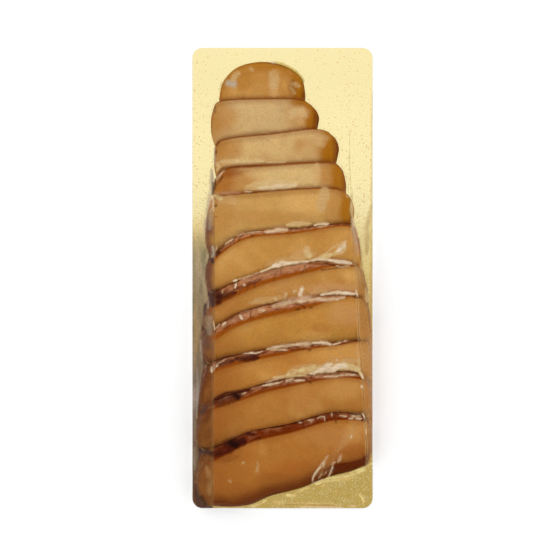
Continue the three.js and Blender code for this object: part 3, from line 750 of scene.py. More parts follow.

# Brush strokes over the card, the later ones on top: path, half width, strength and how streaky. They paint
# the film's highlights and reflections, and shade in seams, holes and hollows, with some of the skin's
# colour.
strokes = [
    # pink skin with painted film sheen
    ("rose", [
        ([(9, -33.6), (13, -34)], 1.2, 0.5, 0.2), ([(3, -10.4), (12, -10), (22, -10.4)], 1.8, 0.6, 0.1),
        ([(-20, -1.6), (-10, 1.6), (0, 4.4), (12, 5.4)], 1.8, 0.35, 0.3),
        ([(-27, -21.4), (-20, -18.6), (-12, -16)], 1.6, 0.35, 0.3),
        ([(10.5, -49.2), (13.5, -48.8)], 0.8, 0.5, 0.2),
        ([(15, -48.9), (20, -49.1), (27, -49.4)], 1.0, 0.5, 0.2),
        ([(-30, -24.5), (-26, -22), (-22.5, -21)], 1.0, 0.45, 0.3),
        ([(-32, -61.5), (-30, -60.5), (-27.5, -59.2), (-25, -58.7)], 0.5, 0.5, 0.2),
        ([(-20, -0.8), (-14, -1.6)], 0.8, 0.4, 0.4),
        ([(-16, -55.2), (-12, -54.3), (-8, -53.4)], 0.6, 0.6, 0.4),
        ([(-31, 42.4), (-21, 42.3)], 0.9, 0.45, 0.3), ([(-25, 21), (-19, 22.6)], 0.8, 0.3, 0.5),
        ([(-4, 25.2), (6, 26)], 0.8, 0.3, 0.5), ([(-36, 40), (-35.8, 33)], 1.0, 0.5, 0.3),
    ]),
    # painted grey sheen of folds, and grey shade over bare gold
    ("greySheenAndShade", [
        ([(-35.4, 55), (-36, 44), (-37.4, 36), (-38.6, 28), (-39, 20)], 1.0, 0.6, 0.1),
        ([(-33.8, 65), (-34, 56)], 0.8, 0.45, 0.1), ([(-27, 97.4), (-24.4, 96.6)], 2.0, 0.65, 0.05),
        ([(-44, -55), (-44.2, -66)], 0.8, 0.3, 0.2),
        ([(35, 30), (35.6, 24), (36.8, 18), (37.4, 12)], 1.4, 0.5, 0.1),
        ([(-35.6, 33), (-36.4, 24)], 1.4, 0.35, 0.2),
        ([(-35, 16), (-34.4, 12.6), (-35.2, 10.2)], 1.0, 0.6, 0.1),
        ([(-36.5, -20), (-36.6, -27)], 1.8, 0.35, 0.1), ([(-36.9, -9.5), (-37, -15)], 0.35, 0.6, 0),
        ([(-40.7, -31), (-40.4, -41)], 0.5, 0.5, 0.2), ([(-42.4, -44), (-42.8, -70)], 0.5, 0.4, 0.3),
        ([(-44.2, -84), (-44, -96)], 0.6, 0.4, 0.2),
        ([(-38.4, -43.5), (-38.2, -46.5), (-39.6, -49)], 0.35, 0.5, 0.2),
        ([(-35, 52.5), (-34.8, 47)], 0.6, 0.8, 0.2),
        ([(-34.6, 16), (-34.2, 12.5), (-34, 10.5)], 0.6, 0.55, 0.2),
    ]),
    ("edging", [
        ([(44.8, 93), (44.7, 60), (44.5, 25), (44.6, -20)], 0.8, 0.3, 0.3),
        ([(-43.2, -11), (-43, -24), (-42.8, -38)], 0.9, 0.6, 0.3),
        ([(33.6, 74), (33.6, 58), (34.2, 44)], 0.3, 0.25, 0.4),
        ([(-30.4, 98), (-31.2, 92)], 0.6, 0.25, 0.9),
        ([(-0.5, -113), (10, -113.2), (27, -113.7)], 0.3, 0.8, 0.4),
        ([(44.7, 36), (43.2, 30), (42.2, 25), (42.2, 12)], 1.7, 0.4, 0.05),
    ]),
    # painted shade in pockets
    ("plum", [
        ([(-35.4, 9.4), (-34.6, 8)], 1.0, 0.85, 0), ([(-35.6, -8.4), (-34.8, -13.4)], 1.6, 0.85, 0),
        ([(-38.6, -12.5), (-38.8, -18.5)], 1.0, 0.9, 0),
        ([(-41.8, -85.4), (-39.4, -86.6), (-35, -86.8)], 1.3, 0.9, 0),
        ([(-38, -28), (-37.8, -34)], 2.2, 0.3, 0), ([(-40, -67), (-37.2, -64)], 1.6, 0.6, 0),
        ([(-19, -38.8), (-14, -38.4), (-11, -38)], 0.45, 0.7, 0.2),
        ([(-34.8, 48), (-34.6, 45), (-35, 41.6)], 0.9, 0.9, 0),
        ([(-33.8, 83.2), (-33.2, 82.4)], 0.7, 0.35, 0),
    ]),
    # painted shade in hollows, partly dark red skin
    ("maroon", [
        ([(-32.8, -7.6), (-32, -11.4)], 2.3, 1, 0),
        ([(-32.4, -9.6), (-28, -8.8), (-23.4, -7.3)], 2.1, 0.8, 0),
        ([(-33, 11.3), (-31.6, 12.9)], 0.9, 1, 0), ([(-31.5, 13.4), (-29.4, 14.8)], 0.4, 0.6, 0),
        ([(-33.3, -41.6), (-31, -40.6), (-28, -39.2), (-26, -38.6)], 0.55, 0.95, 0),
        ([(-33, -43.6), (-29, -42), (-24, -40.6)], 1.6, 0.65, 0),
        ([(-33, -61.6), (-28, -60), (-23, -59)], 1.8, 0.5, 0), ([(-36, -66), (-38.6, -71)], 1.6, 0.3, 0),
        ([(-24.6, -57.8), (-22, -59), (-20.4, -57.6)], 1.4, 0.8, 0),
        ([(-34.2, -60.2), (-29.7, -58.2), (-27.8, -57.2), (-23.8, -57), (-19.2, -56), (-16, -55.2)],
         1.0, 0.92, 0),
        ([(-36, -88), (-29.5, -86.4), (-24, -84.4)], 2.4, 0.6, 0),
        ([(-28, -82.6), (-20, -81.2)], 2.5, 0.95, 0), ([(-19.6, -80.2), (-18.8, -81.5)], 0.9, 0.85, 0),
        ([(-17.5, -77.3), (-14.5, -77.8)], 1.0, 0.8, 0), ([(-43.2, -103), (-42.2, -109)], 1.1, 0.6, 0),
        ([(-23.5, -39.8), (-18, -40.4), (-12, -39.6)], 1.7, 0.88, 0.1),
        ([(-33.7, 49.8), (-33.4, 44.6)], 0.5, 0.8, 0),
        ([(-33, 46.5), (-31, 48.6), (-29.6, 50.6)], 0.5, 0.6, 0),
        ([(-35.5, -63.5), (-33.8, -61.5)], 0.9, 0.5, 0),
    ]),
    # painted shade in black holes and voids
    ("voidShade", [
        ([(-25.6, -82.1), (-23.2, -83)], 2.2, 1, 0), ([(-23.4, -57.8), (-22.2, -59.8)], 1.5, 0.8, 0),
        ([(-40.4, -109.5), (-38.6, -112.4)], 1.5, 0.75, 0),
    ]),
    # painted shade lines in seams, creases and along edges
    ("umber", [
        ([(-18, -0.9), (-8, 3), (0, 5.6), (5, 6.3), (9, 7.1)], 0.35, 0.45, 0.3),
        ([(20.4, 7.5), (24, 6.7), (28, 6), (32, 5.8)], 0.6, 1, 0),
        ([(19, 3.9), (24, 4.5), (28, 5.1), (31.6, 5.6)], 0.4, 0.85, 0.1),
        ([(33.5, 6.3), (36.5, 6.1)], 0.35, 0.8, 0), ([(35.6, -9), (39.4, -9.4)], 1.1, 0.6, 0),
        ([(10.3, 6.8), (11.5, 5), (12.2, 2.4)], 0.35, 0.5, 0), ([(-29, -4.2), (-28, -5)], 0.6, 0.5, 0),
        ([(-30, 14), (-28, 16.4), (-24, 19.2)], 1.4, 0.35, 0),
        ([(-24, -5.4), (-18, -3.6), (-11, -0.8)], 1.2, 0.45, 0),
        ([(-33, -63.6), (-28, -62), (-23, -60.8)], 1.7, 0.65, 0),
        ([(-31, -25.2), (-26, -23.4)], 1.3, 0.35, 0), ([(-38, -47), (-37.8, -54)], 1.8, 0.3, 0),
        ([(-0.8, 4.4), (-1, 0.4)], 0.3, 0.4, 0), ([(-29.4, -21.8), (-27, -20.6), (-24, -19)], 0.45, 1, 0),
        ([(-24, -19), (-21, -17.8), (-18, -17), (-15.2, -15.8)], 0.4, 0.7, 0.2),
        ([(-12, -13.8), (-6, -12.6), (-2, -11.8), (2.6, -10.8)], 0.5, 0.5, 0.3),
        ([(-15.2, -15.9), (-16, -18), (-15.8, -21)], 0.4, 0.7, 0),
        ([(14, -9.5), (18, -9.2), (21, -8.7), (26, -8.6), (33, -8.5), (36.5, -8.8)], 0.45, 0.85, 0.2),
        ([(6, -10.9), (7, -12.6), (9.5, -13.6)], 0.5, 0.5, 0.2),
        ([(7, -15.7), (8.5, -15.5)], 0.6, 0.8, 0), ([(9.6, -13.8), (11.2, -14.9)], 0.6, 0.7, 0),
        ([(13.6, -14.6), (14.6, -14.7)], 0.5, 0.8, 0), ([(-33, -23.6), (-33.5, -27.5)], 0.5, 0.7, 0),
        ([(-26, -38.7), (-22, -38), (-15, -37.6)], 0.35, 0.5, 0.2),
        ([(-14.7, -37), (-12, -36.4), (-10, -35.7), (-7.5, -35.1)], 0.5, 0.85, 0),
        ([(4, -36), (8, -35.3), (10, -35), (13.6, -35.1)], 0.55, 0.75, 0.2),
        ([(13, -35.9), (14.3, -35.6)], 0.45, 0.8, 0),
        ([(26, -33.4), (30, -32.6), (34, -31.9), (37.5, -31.3)], 0.45, 0.8, 0.1),
        ([(38.2, -29), (38.4, -31.6)], 0.35, 0.7, 0),
        ([(-18, -55.4), (-14, -54), (-10, -53), (-7.5, -51.8)], 0.45, 0.6, 0.2),
        ([(-7, -52.4), (-5, -51.8), (-2, -51), (0.3, -50.6)], 0.35, 0.85, 0),
        ([(5.5, -50.2), (8, -50), (11, -49.5), (12.2, -50.4)], 0.5, 0.8, 0.1),
        ([(13, -48.4), (18, -48.2), (20, -47.3), (25, -47)], 0.4, 0.65, 0.1),
        ([(27, -46.9), (30, -46), (33, -46), (36, -46.6), (38, -48), (39, -49.2)], 0.6, 0.9, 0.1),
        ([(11.5, -50.4), (14, -52)], 0.8, 0.6, 0.2),
        ([(15, -69.7), (18, -68.6), (20, -67.9), (23, -67.5)], 0.5, 0.8, 0.1),
        ([(25, -67.6), (28, -67), (31.5, -67.2)], 0.55, 0.85, 0),
        ([(8.5, -70.8), (10.6, -70.6)], 0.45, 0.9, 0), ([(10.2, -71), (10.7, -75)], 0.5, 0.55, 0.2),
        ([(26.3, -69.5), (26.6, -71.8)], 0.6, 0.7, 0), ([(41.2, -68.2), (41.4, -69.6)], 0.4, 0.9, 0),
        ([(40.5, -50), (45, -51.6)], 0.9, 0.4, 0.2), ([(41.4, -69.8), (45, -70.4)], 0.8, 0.4, 0.2),
        ([(38, -31.4), (43, -31.2)], 0.8, 0.4, 0.2),
        ([(39.8, 4.5), (41.7, -5), (42.5, -12), (43.2, -20), (44.4, -27)], 0.45, 0.5, 0.2),
        ([(38.4, 20), (39.6, 10), (39.8, 5)], 0.4, 0.4, 0.3),
        ([(-34, -90.7), (-28, -90.5), (-22, -88.6)], 1.9, 0.25, 0.2),
        ([(-29, 55.3), (-25, 55.4), (-18, 55.8), (-10, 56)], 0.6, 0.5, 0.2),
        ([(-32.5, 52.3), (-30.5, 54.6), (-28, 55.5)], 0.35, 0.6, 0),
        ([(-18, 42.2), (-13, 42.5)], 0.35, 0.7, 0.2), ([(-33.6, 35.6), (-33, 36.2)], 0.6, 0.7, 0),
        ([(-33.6, 30.4), (-32.8, 30.6)], 0.6, 0.5, 0), ([(-33.4, 63.6), (-33.2, 62.2)], 0.7, 0.5, 0.3),
        ([(-33, 65.6), (-31.6, 68)], 0.6, 0.5, 0), ([(-34.6, 84), (-33.2, 85.4)], 0.4, 0.6, 0),
        ([(23, 26.2), (26, 26.8), (29, 26.9)], 0.4, 0.9, 0.1),
        ([(31, 26.9), (34.5, 26.8)], 0.4, 0.85, 0.1), ([(-22, 19), (-21.4, 19.4)], 0.5, 0.5, 0),
    ]),
    # painted window reflections and wrinkle sheen
    ("wheat", [
        ([(-24.6, 99), (-22.8, 102)], 1.5, 0.6, 0.1), ([(-4.5, 101.6), (-4.4, 96)], 2.4, 0.45, 0.1),
        ([(-4.4, 97), (-4.6, 92)], 2.0, 0.25, 0.1), ([(5.2, 96.6), (7.6, 95.8)], 1.2, 0.35, 0.5),
        ([(4.4, 94.6), (6, 92.4)], 0.8, 0.4, 0.4), ([(4.6, 81.6), (10, 82.6)], 3.0, 0.3, 0.1),
        ([(15.6, 70), (21.6, 69.6)], 2.0, 0.3, 0.1), ([(18, 67), (20, 66.6)], 1.3, 0.4, 0.1),
        ([(17.2, 56.6), (17.2, 51), (16.4, 46.4)], 2.0, 0.45, 0.1),
        ([(20.6, 43.4), (20.2, 39), (19, 35.4)], 2.6, 0.6, 0.1),
        ([(-30, 39), (-24, 38.6)], 2.2, 0.4, 0.3),
        ([(-8, 6.4), (-3, 8.6), (6, 9.6), (14, 10)], 1.5, 0.5, 0.3),
        ([(5, 10.8), (11, 11.8), (16, 12)], 2.2, 0.45, 0.2),
        ([(-16, -12.4), (-8, -10.8), (0, -9.6)], 1.6, 0.5, 0.3),
        ([(14, -7.4), (22, -6.4)], 1.0, 0.5, 0.2), ([(4, -45.2), (12, -44), (20, -43.4)], 1.6, 0.5, 0.2),
        ([(22, -42), (30, -41.4), (37, -41.6)], 1.7, 0.5, 0.2),
        ([(37.3, -33), (37.2, -38), (37.6, -43)], 0.6, 0.5, 0.2),
        ([(-12.5, -91.4), (-12.1, -93.6), (-13, -96.8)], 0.9, 0.5, 0.1),
        ([(-19.7, -91.6), (-19.2, -92.3)], 0.6, 0.5, 0),
        ([(-26.5, -100.8), (-25.8, -101.2)], 0.6, 0.6, 0),
        ([(19, -97.6), (21, -94.6), (24, -90.6), (27, -86)], 2.0, 0.08, 0.6),
        ([(27, -86), (31, -80.6), (36, -74.5)], 1.8, 0.2, 0.7),
        ([(-38, -94), (-36, -100), (-36.6, -108)], 1.4, 0.2, 0.8),
    ]),
    # painted soft highlights on the film
    ("cream", [
        ([(4.4, 79), (5.4, 83), (10, 82.8), (12, 80)], 2.2, 0.3, 0.1),
        ([(-31, 58), (-24, 58.2), (-16, 58.3), (-9, 58.2)], 1.3, 0.6, 0.2),
        ([(-33, 57.5), (-31.5, 55.5), (-32.5, 53.5)], 1.0, 0.5, 0.3),
        ([(-8, 57.6), (2, 57.8)], 0.8, 0.4, 0.3), ([(2, 26.6), (9, 26.8), (14, 27.1)], 1.4, 0.6, 0.1),
        ([(36.6, 6), (38.6, 2), (38.8, -4)], 1.5, 0.15, 0.1), ([(41.4, -5), (42.3, -12)], 0.9, 0.6, 0.1),
        ([(-18, 45.4), (-5, 46.6), (8, 47.6)], 2.4, 0.65, 0.2),
        ([(-19, 44), (-15, 44.1), (-8, 44.4), (0, 44.9), (7, 45.6)], 0.5, 0.6, 0.3),
        ([(-33.5, 40.8), (-30.6, 39.6)], 1.2, 0.6, 0.2),
        ([(34, 38), (34.5, 34), (34.8, 29)], 1.0, 0.6, 0.1), ([(32, 41), (32.8, 40)], 0.6, 0.4, 0.2),
        ([(12, 14.4), (13.4, 11.4)], 1.7, 0.85, 0.15), ([(18, 10.2), (24.6, 11.8)], 1.6, 0.8, 0.2),
        ([(20, 10.5), (24, 14.4), (27.6, 16.6)], 0.6, 0.7, 0.4),
        ([(25.6, 11.6), (28.4, 13), (31.8, 15.2)], 1.5, 0.85, 0.5),
        ([(2.5, -47.8), (6, -46.8), (10.4, -45.8)], 1.6, 0.8, 0.1),
        ([(-5, -49.6), (-1, -49), (5, -48.8), (12, -48.2)], 0.8, 0.75, 0.1),
        ([(9, -46.2), (13, -45.6), (20, -44.8)], 2.2, 0.8, 0.15),
        ([(26, -44.2), (33, -44), (38.4, -45.2)], 1.8, 0.83, 0.05),
        ([(36, -45), (38.6, -47.4), (39.8, -49.4)], 0.8, 0.7, 0.1),
        ([(38, -39), (38, -45), (39.3, -48.4)], 0.5, 0.7, 0.1), ([(44.2, 4), (44.4, -18)], 0.8, 0.4, 0.3),
        ([(42.9, -8), (43.4, -14)], 0.5, 0.6, 0.2),
    ]),
    # painted glints on the gold
    ("glint", [
        ([(16, -103), (20, -101.6), (25, -100.6), (30, -99.4), (35, -97.4), (40, -96), (45, -92.4)],
         1.2, 0.9, 0.7),
        ([(17, -103.4), (18.4, -102.8)], 0.5, 0.9, 0.2),
        ([(25, -101.2), (31, -100), (37, -98.4)], 1.5, 0.55, 0.4),
        ([(31, -99.2), (32.6, -98.8)], 0.6, 0.9, 0.2),
        ([(35, -96.9), (38, -95.8), (41, -94.2)], 0.9, 0.7, 0.3),
        ([(21.5, -100), (25, -99.8), (28, -99.3), (31, -98.4)], 0.6, 1, 0.2),
        ([(-16, -114.6), (-12, -112.8), (-8, -110.8)], 1.0, 0.8, 0.7),
        ([(-5, -111.5), (1, -113)], 1.3, 0.7, 0.7), ([(2.6, -108.4), (5.6, -108.6)], 1.0, 0.9, 0.2),
        ([(6, -107.4), (10, -105.8), (14, -104.2)], 0.9, 0.6, 0.7),
        ([(-3, -112.3), (12, -112.6), (28, -112.8)], 0.4, 0.6, 0.5),
        ([(38.5, -108), (40, -110), (41, -112.6)], 0.9, 0.8, 0.8),
        ([(8, -114.4), (18, -114.4), (30, -114.6)], 0.6, 0.7, 0.3),
        ([(33.6, -114), (37, -114)], 0.6, 0.9, 0.2), ([(20, -104), (21, -103)], 0.6, 0.7, 0.4),
        ([(26.6, -106), (27, -107)], 0.4, 0.7, 0.3),
    ]),
    # painted shade and bounce light on the gold beside slice 1
    ("olive", [
        ([(-5, 108), (0, 107), (4, 105), (7, 102.8), (9.2, 100.6), (10.8, 98)], 0.9, 0.65, 0.1),
    ]),
    # painted highlights along the seams and wrinkles of the film
    ("milkyHighlight", [
        ([(-16.4, 104.8), (-14.4, 103.2)], 0.5, 0.35, 0.5), ([(-5.4, 107.7), (-4.2, 107.5)], 0.4, 0.8, 0),
        ([(-33.2, 48.8), (-31, 51.5), (-29, 53.5)], 0.45, 0.45, 0.1),
        ([(-19, 42.9), (-15, 42.8)], 0.28, 0.6, 0),
        ([(-12, 44.8), (-5, 45.3), (2, 46), (7, 46.4)], 1.2, 0.5, 0.15),
        ([(-34.5, 41), (-34.3, 33)], 0.5, 0.5, 0.2), ([(-36.5, 32.6), (-34.6, 35)], 0.3, 0.5, 0),
        ([(-28.6, 16.6), (-27, 18), (-24.5, 19.4)], 0.45, 0.6, 0),
        ([(-22.5, 20.9), (-20, 21.8), (-16, 22.6), (-9.5, 23.3)], 0.3, 0.4, 0.3),
        ([(-9, 22.9), (-3, 23.7), (2.6, 24.1)], 0.85, 0.65, 0.1),
        ([(16, 26.3), (19, 27), (23, 26.9)], 0.7, 0.8, 0.1), ([(17.5, 25.2), (22, 25.9)], 0.28, 0.5, 0.2),
        ([(-32.5, 16.5), (-33.2, 13.5)], 0.35, 0.4, 0), ([(-24.6, -1.7), (-22.6, -0.8)], 0.45, 0.9, 0),
        ([(-22, -0.7), (-18, 0.4), (-14, 1.8), (-10, 3.4)], 0.32, 0.45, 0.2),
        ([(-11, 3), (-8, 4.2), (-5, 5.5), (-1, 6.8)], 0.5, 0.8, 0.1),
        ([(-5, 5.9), (0, 7.2), (4.5, 7.5)], 1.15, 1, 0.1),
        ([(2, 7.2), (8, 7.9), (13, 8.2)], 0.7, 0.8, 0.2),
        ([(13, 8.6), (17, 9.4), (21, 9.3), (25, 8.8)], 0.7, 0.85, 0.1),
        ([(23, 8.9), (29, 8.1), (34.4, 7.3)], 0.8, 1, 0.05), ([(-23, -2.6), (-23.6, -5)], 0.4, 1, 0),
        ([(-19.4, -3.1), (-18.9, -3.5)], 0.5, 0.6, 0), ([(-29.8, -6.3), (-30, -7.4)], 0.3, 0.35, 0),
        ([(26.5, 6), (29.5, 5.4), (33, 6)], 0.28, 0.5, 0),
        ([(27.2, 13.2), (29.6, 15.6), (31.4, 18)], 1.3, 0.95, 0.5),
        ([(9.6, -5.4), (8.8, -8.2)], 0.9, 1, 0.1), ([(5.4, -6.8), (6.8, -6.2)], 0.5, 0.5, 0.2),
        ([(-3.8, -10.3), (-3.2, -10.9)], 0.5, 0.55, 0), ([(1.5, -8), (1.2, -10.5)], 0.8, 0.3, 0.4),
        ([(19, -8.4), (24, -7.5), (28, -7.1), (32, -7.6), (36.8, -7.8)], 0.75, 1, 0.05),
        ([(36.5, -6), (37.3, -9)], 0.4, 0.9, 0), ([(10, -9.6), (14, -9.6)], 1.0, 0.3, 0.2),
        ([(13, -11), (17, -10.5), (22, -10.9), (27, -10.2), (31, -9.6)], 0.8, 0.6, 0.15),
        ([(7.5, -11.6), (10, -11.8)], 0.6, 0.5, 0.3),
        ([(-5, -14.2), (-1, -13), (3, -12.2), (6, -12)], 1.2, 0.4, 0.15),
        ([(6, -11.4), (12, -11.4)], 1.1, 0.4, 0.15), ([(-11.5, -15.9), (-9.4, -16)], 0.7, 0.6, 0),
        ([(-30, -23.6), (-28.2, -22)], 0.6, 0.85, 0.2), ([(-21.1, -18.7), (-20.2, -20.2)], 0.5, 0.85, 0),
        ([(-33, -25), (-31.4, -23)], 0.35, 0.5, 0), ([(-34.4, -21.5), (-33.6, -26)], 0.35, 0.6, 0),
        ([(-20, -37.8), (-16, -37.2), (-13, -37.4), (-10, -36.5)], 0.3, 0.95, 0),
        ([(-8, -35.5), (-5, -34.8), (-1, -34), (3, -33.7), (8, -33)], 0.75, 0.6, 0.1),
        ([(7, -33), (11, -32.8), (15, -32.5)], 0.9, 0.5, 0.1),
        ([(-6, -35.9), (0, -35.5), (2.5, -36)], 0.4, 0.5, 0.2),
        ([(15, -32.4), (19, -32.1), (22, -32.4), (24.2, -33.2)], 0.8, 0.8, 0.15),
        ([(25, -33.3), (27, -32.6), (29.2, -31.9)], 0.4, 0.7, 0.1),
        ([(30, -31.4), (32.5, -31.2)], 0.3, 0.4, 0),
        ([(-33, -43), (-30, -41.5), (-28, -40.2)], 0.4, 0.25, 0.4),
        ([(-33, -44), (-32.5, -43.6)], 0.4, 0.8, 0), ([(-35.2, -44), (-35.2, -47)], 0.5, 0.75, 0.1),
        ([(-34.2, -43), (-34, -46)], 0.28, 0.4, 0),
        ([(-20.6, -57.9), (-19.4, -57.5), (-18.2, -57)], 0.28, 0.5, 0),
        ([(-10, -53.6), (-6, -52.9), (-2, -52.2), (0.2, -51.4)], 0.5, 0.55, 0.3),
        ([(-8, -52), (-4, -50.5), (0, -49.9)], 0.4, 0.4, 0.2), ([(2, -51.3), (5, -50.4)], 0.8, 0.45, 0.3),
        ([(6, -51), (8, -50.9), (11, -51)], 0.5, 0.7, 0),
        ([(14, -47.4), (18.5, -46.2), (21.5, -44), (24.4, -42.8)], 1.2, 0.85, 0.15),
        ([(19, -46.2), (23, -45.4), (27, -45)], 1.4, 0.8, 0.1),
        ([(26, -44.8), (28.6, -43.4), (31, -43.8)], 1.4, 0.9, 0.05),
        ([(20.4, -49.1), (24, -48.9), (28, -48.5), (33, -48.1), (37, -48.3)], 0.6, 0.45, 0.15),
        ([(39.2, -47.5), (40.1, -50)], 0.4, 0.9, 0), ([(39.4, -53.5), (39.5, -54.2)], 0.5, 0.8, 0),
        ([(27, -40.5), (27.1, -41)], 0.4, 0.6, 0), ([(17, -70), (19, -69.1), (21, -68.8)], 0.4, 0.5, 0.4),
        ([(24.3, -67), (24.6, -68.8)], 0.35, 0.5, 0), ([(28.5, -68.5), (32, -68.8)], 0.4, 0.5, 0),
        ([(33.3, -69.8), (34.7, -69.9)], 0.4, 0.9, 0), ([(36.5, -70.2), (39.4, -70.1)], 0.4, 0.8, 0),
        ([(35, -68.8), (38, -69)], 0.9, 0.4, 0.2), ([(39.8, -67.3), (41, -69.8)], 0.35, 0.8, 0),
        ([(7.6, -71.6), (9.6, -72.2)], 0.3, 0.6, 0), ([(12, -70.8), (16, -70.6)], 0.3, 0.4, 0.6),
        ([(20.8, -69), (21, -71)], 0.28, 0.4, 0),
        ([(15, -101.4), (15.2, -99.4), (16.6, -96.8), (18.4, -94.4)], 0.55, 0.5, 0.5),
        ([(17.4, -96.4), (18.6, -93.8), (20.6, -91.2), (22.6, -88.2)], 0.5, 0.3, 0.8),
        ([(19.6, -95.4), (21.2, -92.4)], 0.3, 0.28, 0.7), ([(18, -99.6), (20, -97.4)], 0.35, 0.2, 0.7),
        ([(15.2, -101.9), (16.6, -102), (18.6, -101), (21, -100.3)], 0.28, 0.55, 0.2),
        ([(23, -99.2), (24.2, -96.4), (25, -94)], 0.55, 0.45, 0.5),
        ([(24.8, -94), (25.2, -92), (26.4, -91.4)], 0.5, 0.35, 0.6),
        ([(27.6, -91.8), (28.2, -90), (29.2, -87.6)], 0.5, 0.3, 0.8),
        ([(34.2, -79.2), (34.6, -78.2)], 0.35, 0.6, 0),
        ([(9, -114.7), (18, -114.6), (30, -114.7)], 0.4, 0.6, 0.2),
        ([(34, -114), (37.4, -114.2)], 0.4, 0.6, 0.4), ([(41.4, -75), (41.6, -78)], 0.3, 0.6, 0.1),
        ([(16.6, -98), (17.4, -95.6), (19, -93.2)], 0.28, 0.45, 0.4),
        ([(18.6, -95.2), (19.6, -93.6), (20.4, -91.6)], 0.28, 0.45, 0.4),
        ([(20.2, -94), (21, -91.8), (22.4, -89.6)], 0.28, 0.4, 0.4),
        ([(18, -100.4), (19, -98.4), (19.8, -96.4)], 0.28, 0.3, 0.5),
        ([(20.6, -98.4), (22.2, -96)], 0.28, 0.3, 0.5),
        ([(28.4, -91.4), (29.2, -89.6), (29.4, -88)], 0.28, 0.4, 0.4),
        ([(13.4, -70.9), (15, -71.6)], 0.28, 0.4, 0.4),
    ]),
]


def toPath(path, x, y):  # distance to a path, and the share of the way along it
    nearest, share, way = np.full(x.shape, 1e9), np.zeros(x.shape), 0
    for (ax, ay), (bx, by) in zip(path, path[1:]):
        dx, dy = bx - ax, by - ay
        t = np.clip(((x - ax) * dx + (y - ay) * dy) / (dx * dx + dy * dy), 0, 1)
        distance = np.hypot(x - ax - t * dx, y - ay - t * dy)
        share = np.where(distance < nearest, way + t * math.hypot(dx, dy), share)
        nearest = np.minimum(nearest, distance)
        way += math.hypot(dx, dy)
    return nearest, share / way, way


def closeOver(field, radius):  # what a ball rolled over the field can touch from above
    reach, far = int(radius / gridStep), 1e9
    steps = range(-reach, reach + 1)
    cap = {(i, j): math.sqrt(radius**2 - (i * i + j * j) * gridStep**2) - radius
           for i in steps for j in steps if math.hypot(i, j) * gridStep < radius}

    def sweep(grid, sign, outside):
        padded = np.pad(grid, reach, constant_values=outside)
        result = np.full(grid.shape, -sign * far)
        for (i, j), drop in cap.items():
            part = padded[reach + i:reach + i + grid.shape[0], reach + j:reach + j + grid.shape[1]]
            result = (np.maximum if sign > 0 else np.minimum)(result, part + sign * drop)
        return result

    raised = sweep(np.pad(field, reach, constant_values=card["top"]), 1, card["top"])
    return sweep(raised, -1, far)[reach:-reach, reach:-reach]


def blur(field, width):
    reach = int(3 * width / gridStep) + 1  # past three widths next to nothing is left
    weights = np.exp(-0.5 * (np.arange(-reach, reach + 1) * gridStep / width) ** 2)
    weights /= weights.sum()
    for axis in (0, 1):
        padded = np.pad(field, [(reach, reach) if n == axis else (0, 0) for n in (0, 1)], mode="edge")
        size = field.shape[axis]
        field = sum(w * np.take(padded, range(k, k + size), axis) for k, w in enumerate(weights))
    return field


def creaseLine(name, y):
    points = np.array(creases[name])[::-1]
    return np.interp(y, points[:, 1], points[:, 0])


def toEdge(x, y):  # distance to the nearest side of the card
    return np.minimum(card["width"] / 2 - np.abs(x), card["length"] / 2 - np.abs(y))


def filmHeights():  # over the pile's grid: the film, and how much air is behind it
    x, y = np.meshgrid(gridX, gridY, indexing="ij")
    touch = pile + film["clear"]
    tight, wide = [closeOver(touch, ball) for ball in film["balls"]]
    lower = 1 - smooth(film["change"][1], film["change"][0], y)
    skin = tight + (wide - tight) * lower
    for name, sign in (("left", -1), ("right", 1)):
        line = creaseLine(name, gridY)
        shoulder = heightAt(skin, line, gridY)
        outward = np.clip(sign * (x - line) / (card["width"] / 2 - sign * line), 0, 1)
        ruled = shoulder + (card["top"] + film["edge"] - shoulder) * outward
        skin = np.maximum(skin, np.where(outward > 0, ruled, 0))
    skin = np.maximum(blur(skin, film["blurs"][0]), touch)
    most = card["top"] + film["edge"] + film["edgeSlope"] * toEdge(x, y)
    skin = blur(np.minimum(skin, most), film["blurs"][1])
    return skin, smooth(*film["air"], skin - touch)


def filmColumns():  # lines along the film, close together beside the folds
    half, zone = card["width"] / 2, film["foldZone"]
    left, right = [creaseLine(name, gridY)[None, :] for name in ("left", "right")]
    sides, folds, middle = film["columns"]
    parts = [(-half, left - zone, sides), (left - zone, left + zone, folds),
             (left + zone, right - zone, middle), (right - zone, right + zone, folds),
             (right + zone, half, sides)]
    lines = [a + (b - a) * (np.arange(n) / n)[:, None] for a, b, n in parts]
    return np.concatenate(lines + [np.full((1, len(gridY)), half)])


def creaseShare(name, x, y, width, aside=0):
    off = np.abs(x - creaseLine(name, y[0])) - aside
    end = creases[name][-1][1]
    begun = np.exp(-((off / width) ** 2)) * smooth(*creases["top"], y)
    return begun * smooth(end - creases["bottom"], end, y)


def lay(paint, tint, share):  # a coat over what is there, which keeps its colour times its share
    layer = np.ones(paint.shape)
    layer[..., :3] = linear(tint)
    paint[...] = paint + (layer - paint) * share[..., None]


def colourByHeight(stops, y):  # between colours given from the top of the card down
    levels, colours = zip(*stops[::-1])
    return np.stack([np.interp(y, levels, channel) for channel in zip(*colours)], -1)


# The film's broad coats, under the strokes. Pairs are from and to, or least and most.
broadCoats = {
    "bare": (1.6, 1.1),        # heights below which the card is taken to be bare
    "ends": (0.26, 0.8),       # how strongly the slices' ends are shaded behind the left fold
    "endShade": 0.6,           # more of it, just inside where they end
    "endReach": 3.6,
    "notch": 0.9,              # painted shade on bare card behind the fold
    "slack": 0.88,             # the slack film outside it, painted as gold seen through it with sheen and shade
    "slackFolds": 0.24,        # painted light and dark of its small folds
    "side": 0.5,               # past the right fold, over roe, with painted film haze
    "sideBare": 0.9,           # and over bare card
    "sideFrom": (-24, -28),    # between which heights that begins, and ends
    "sideTo": (-90, -86),
}

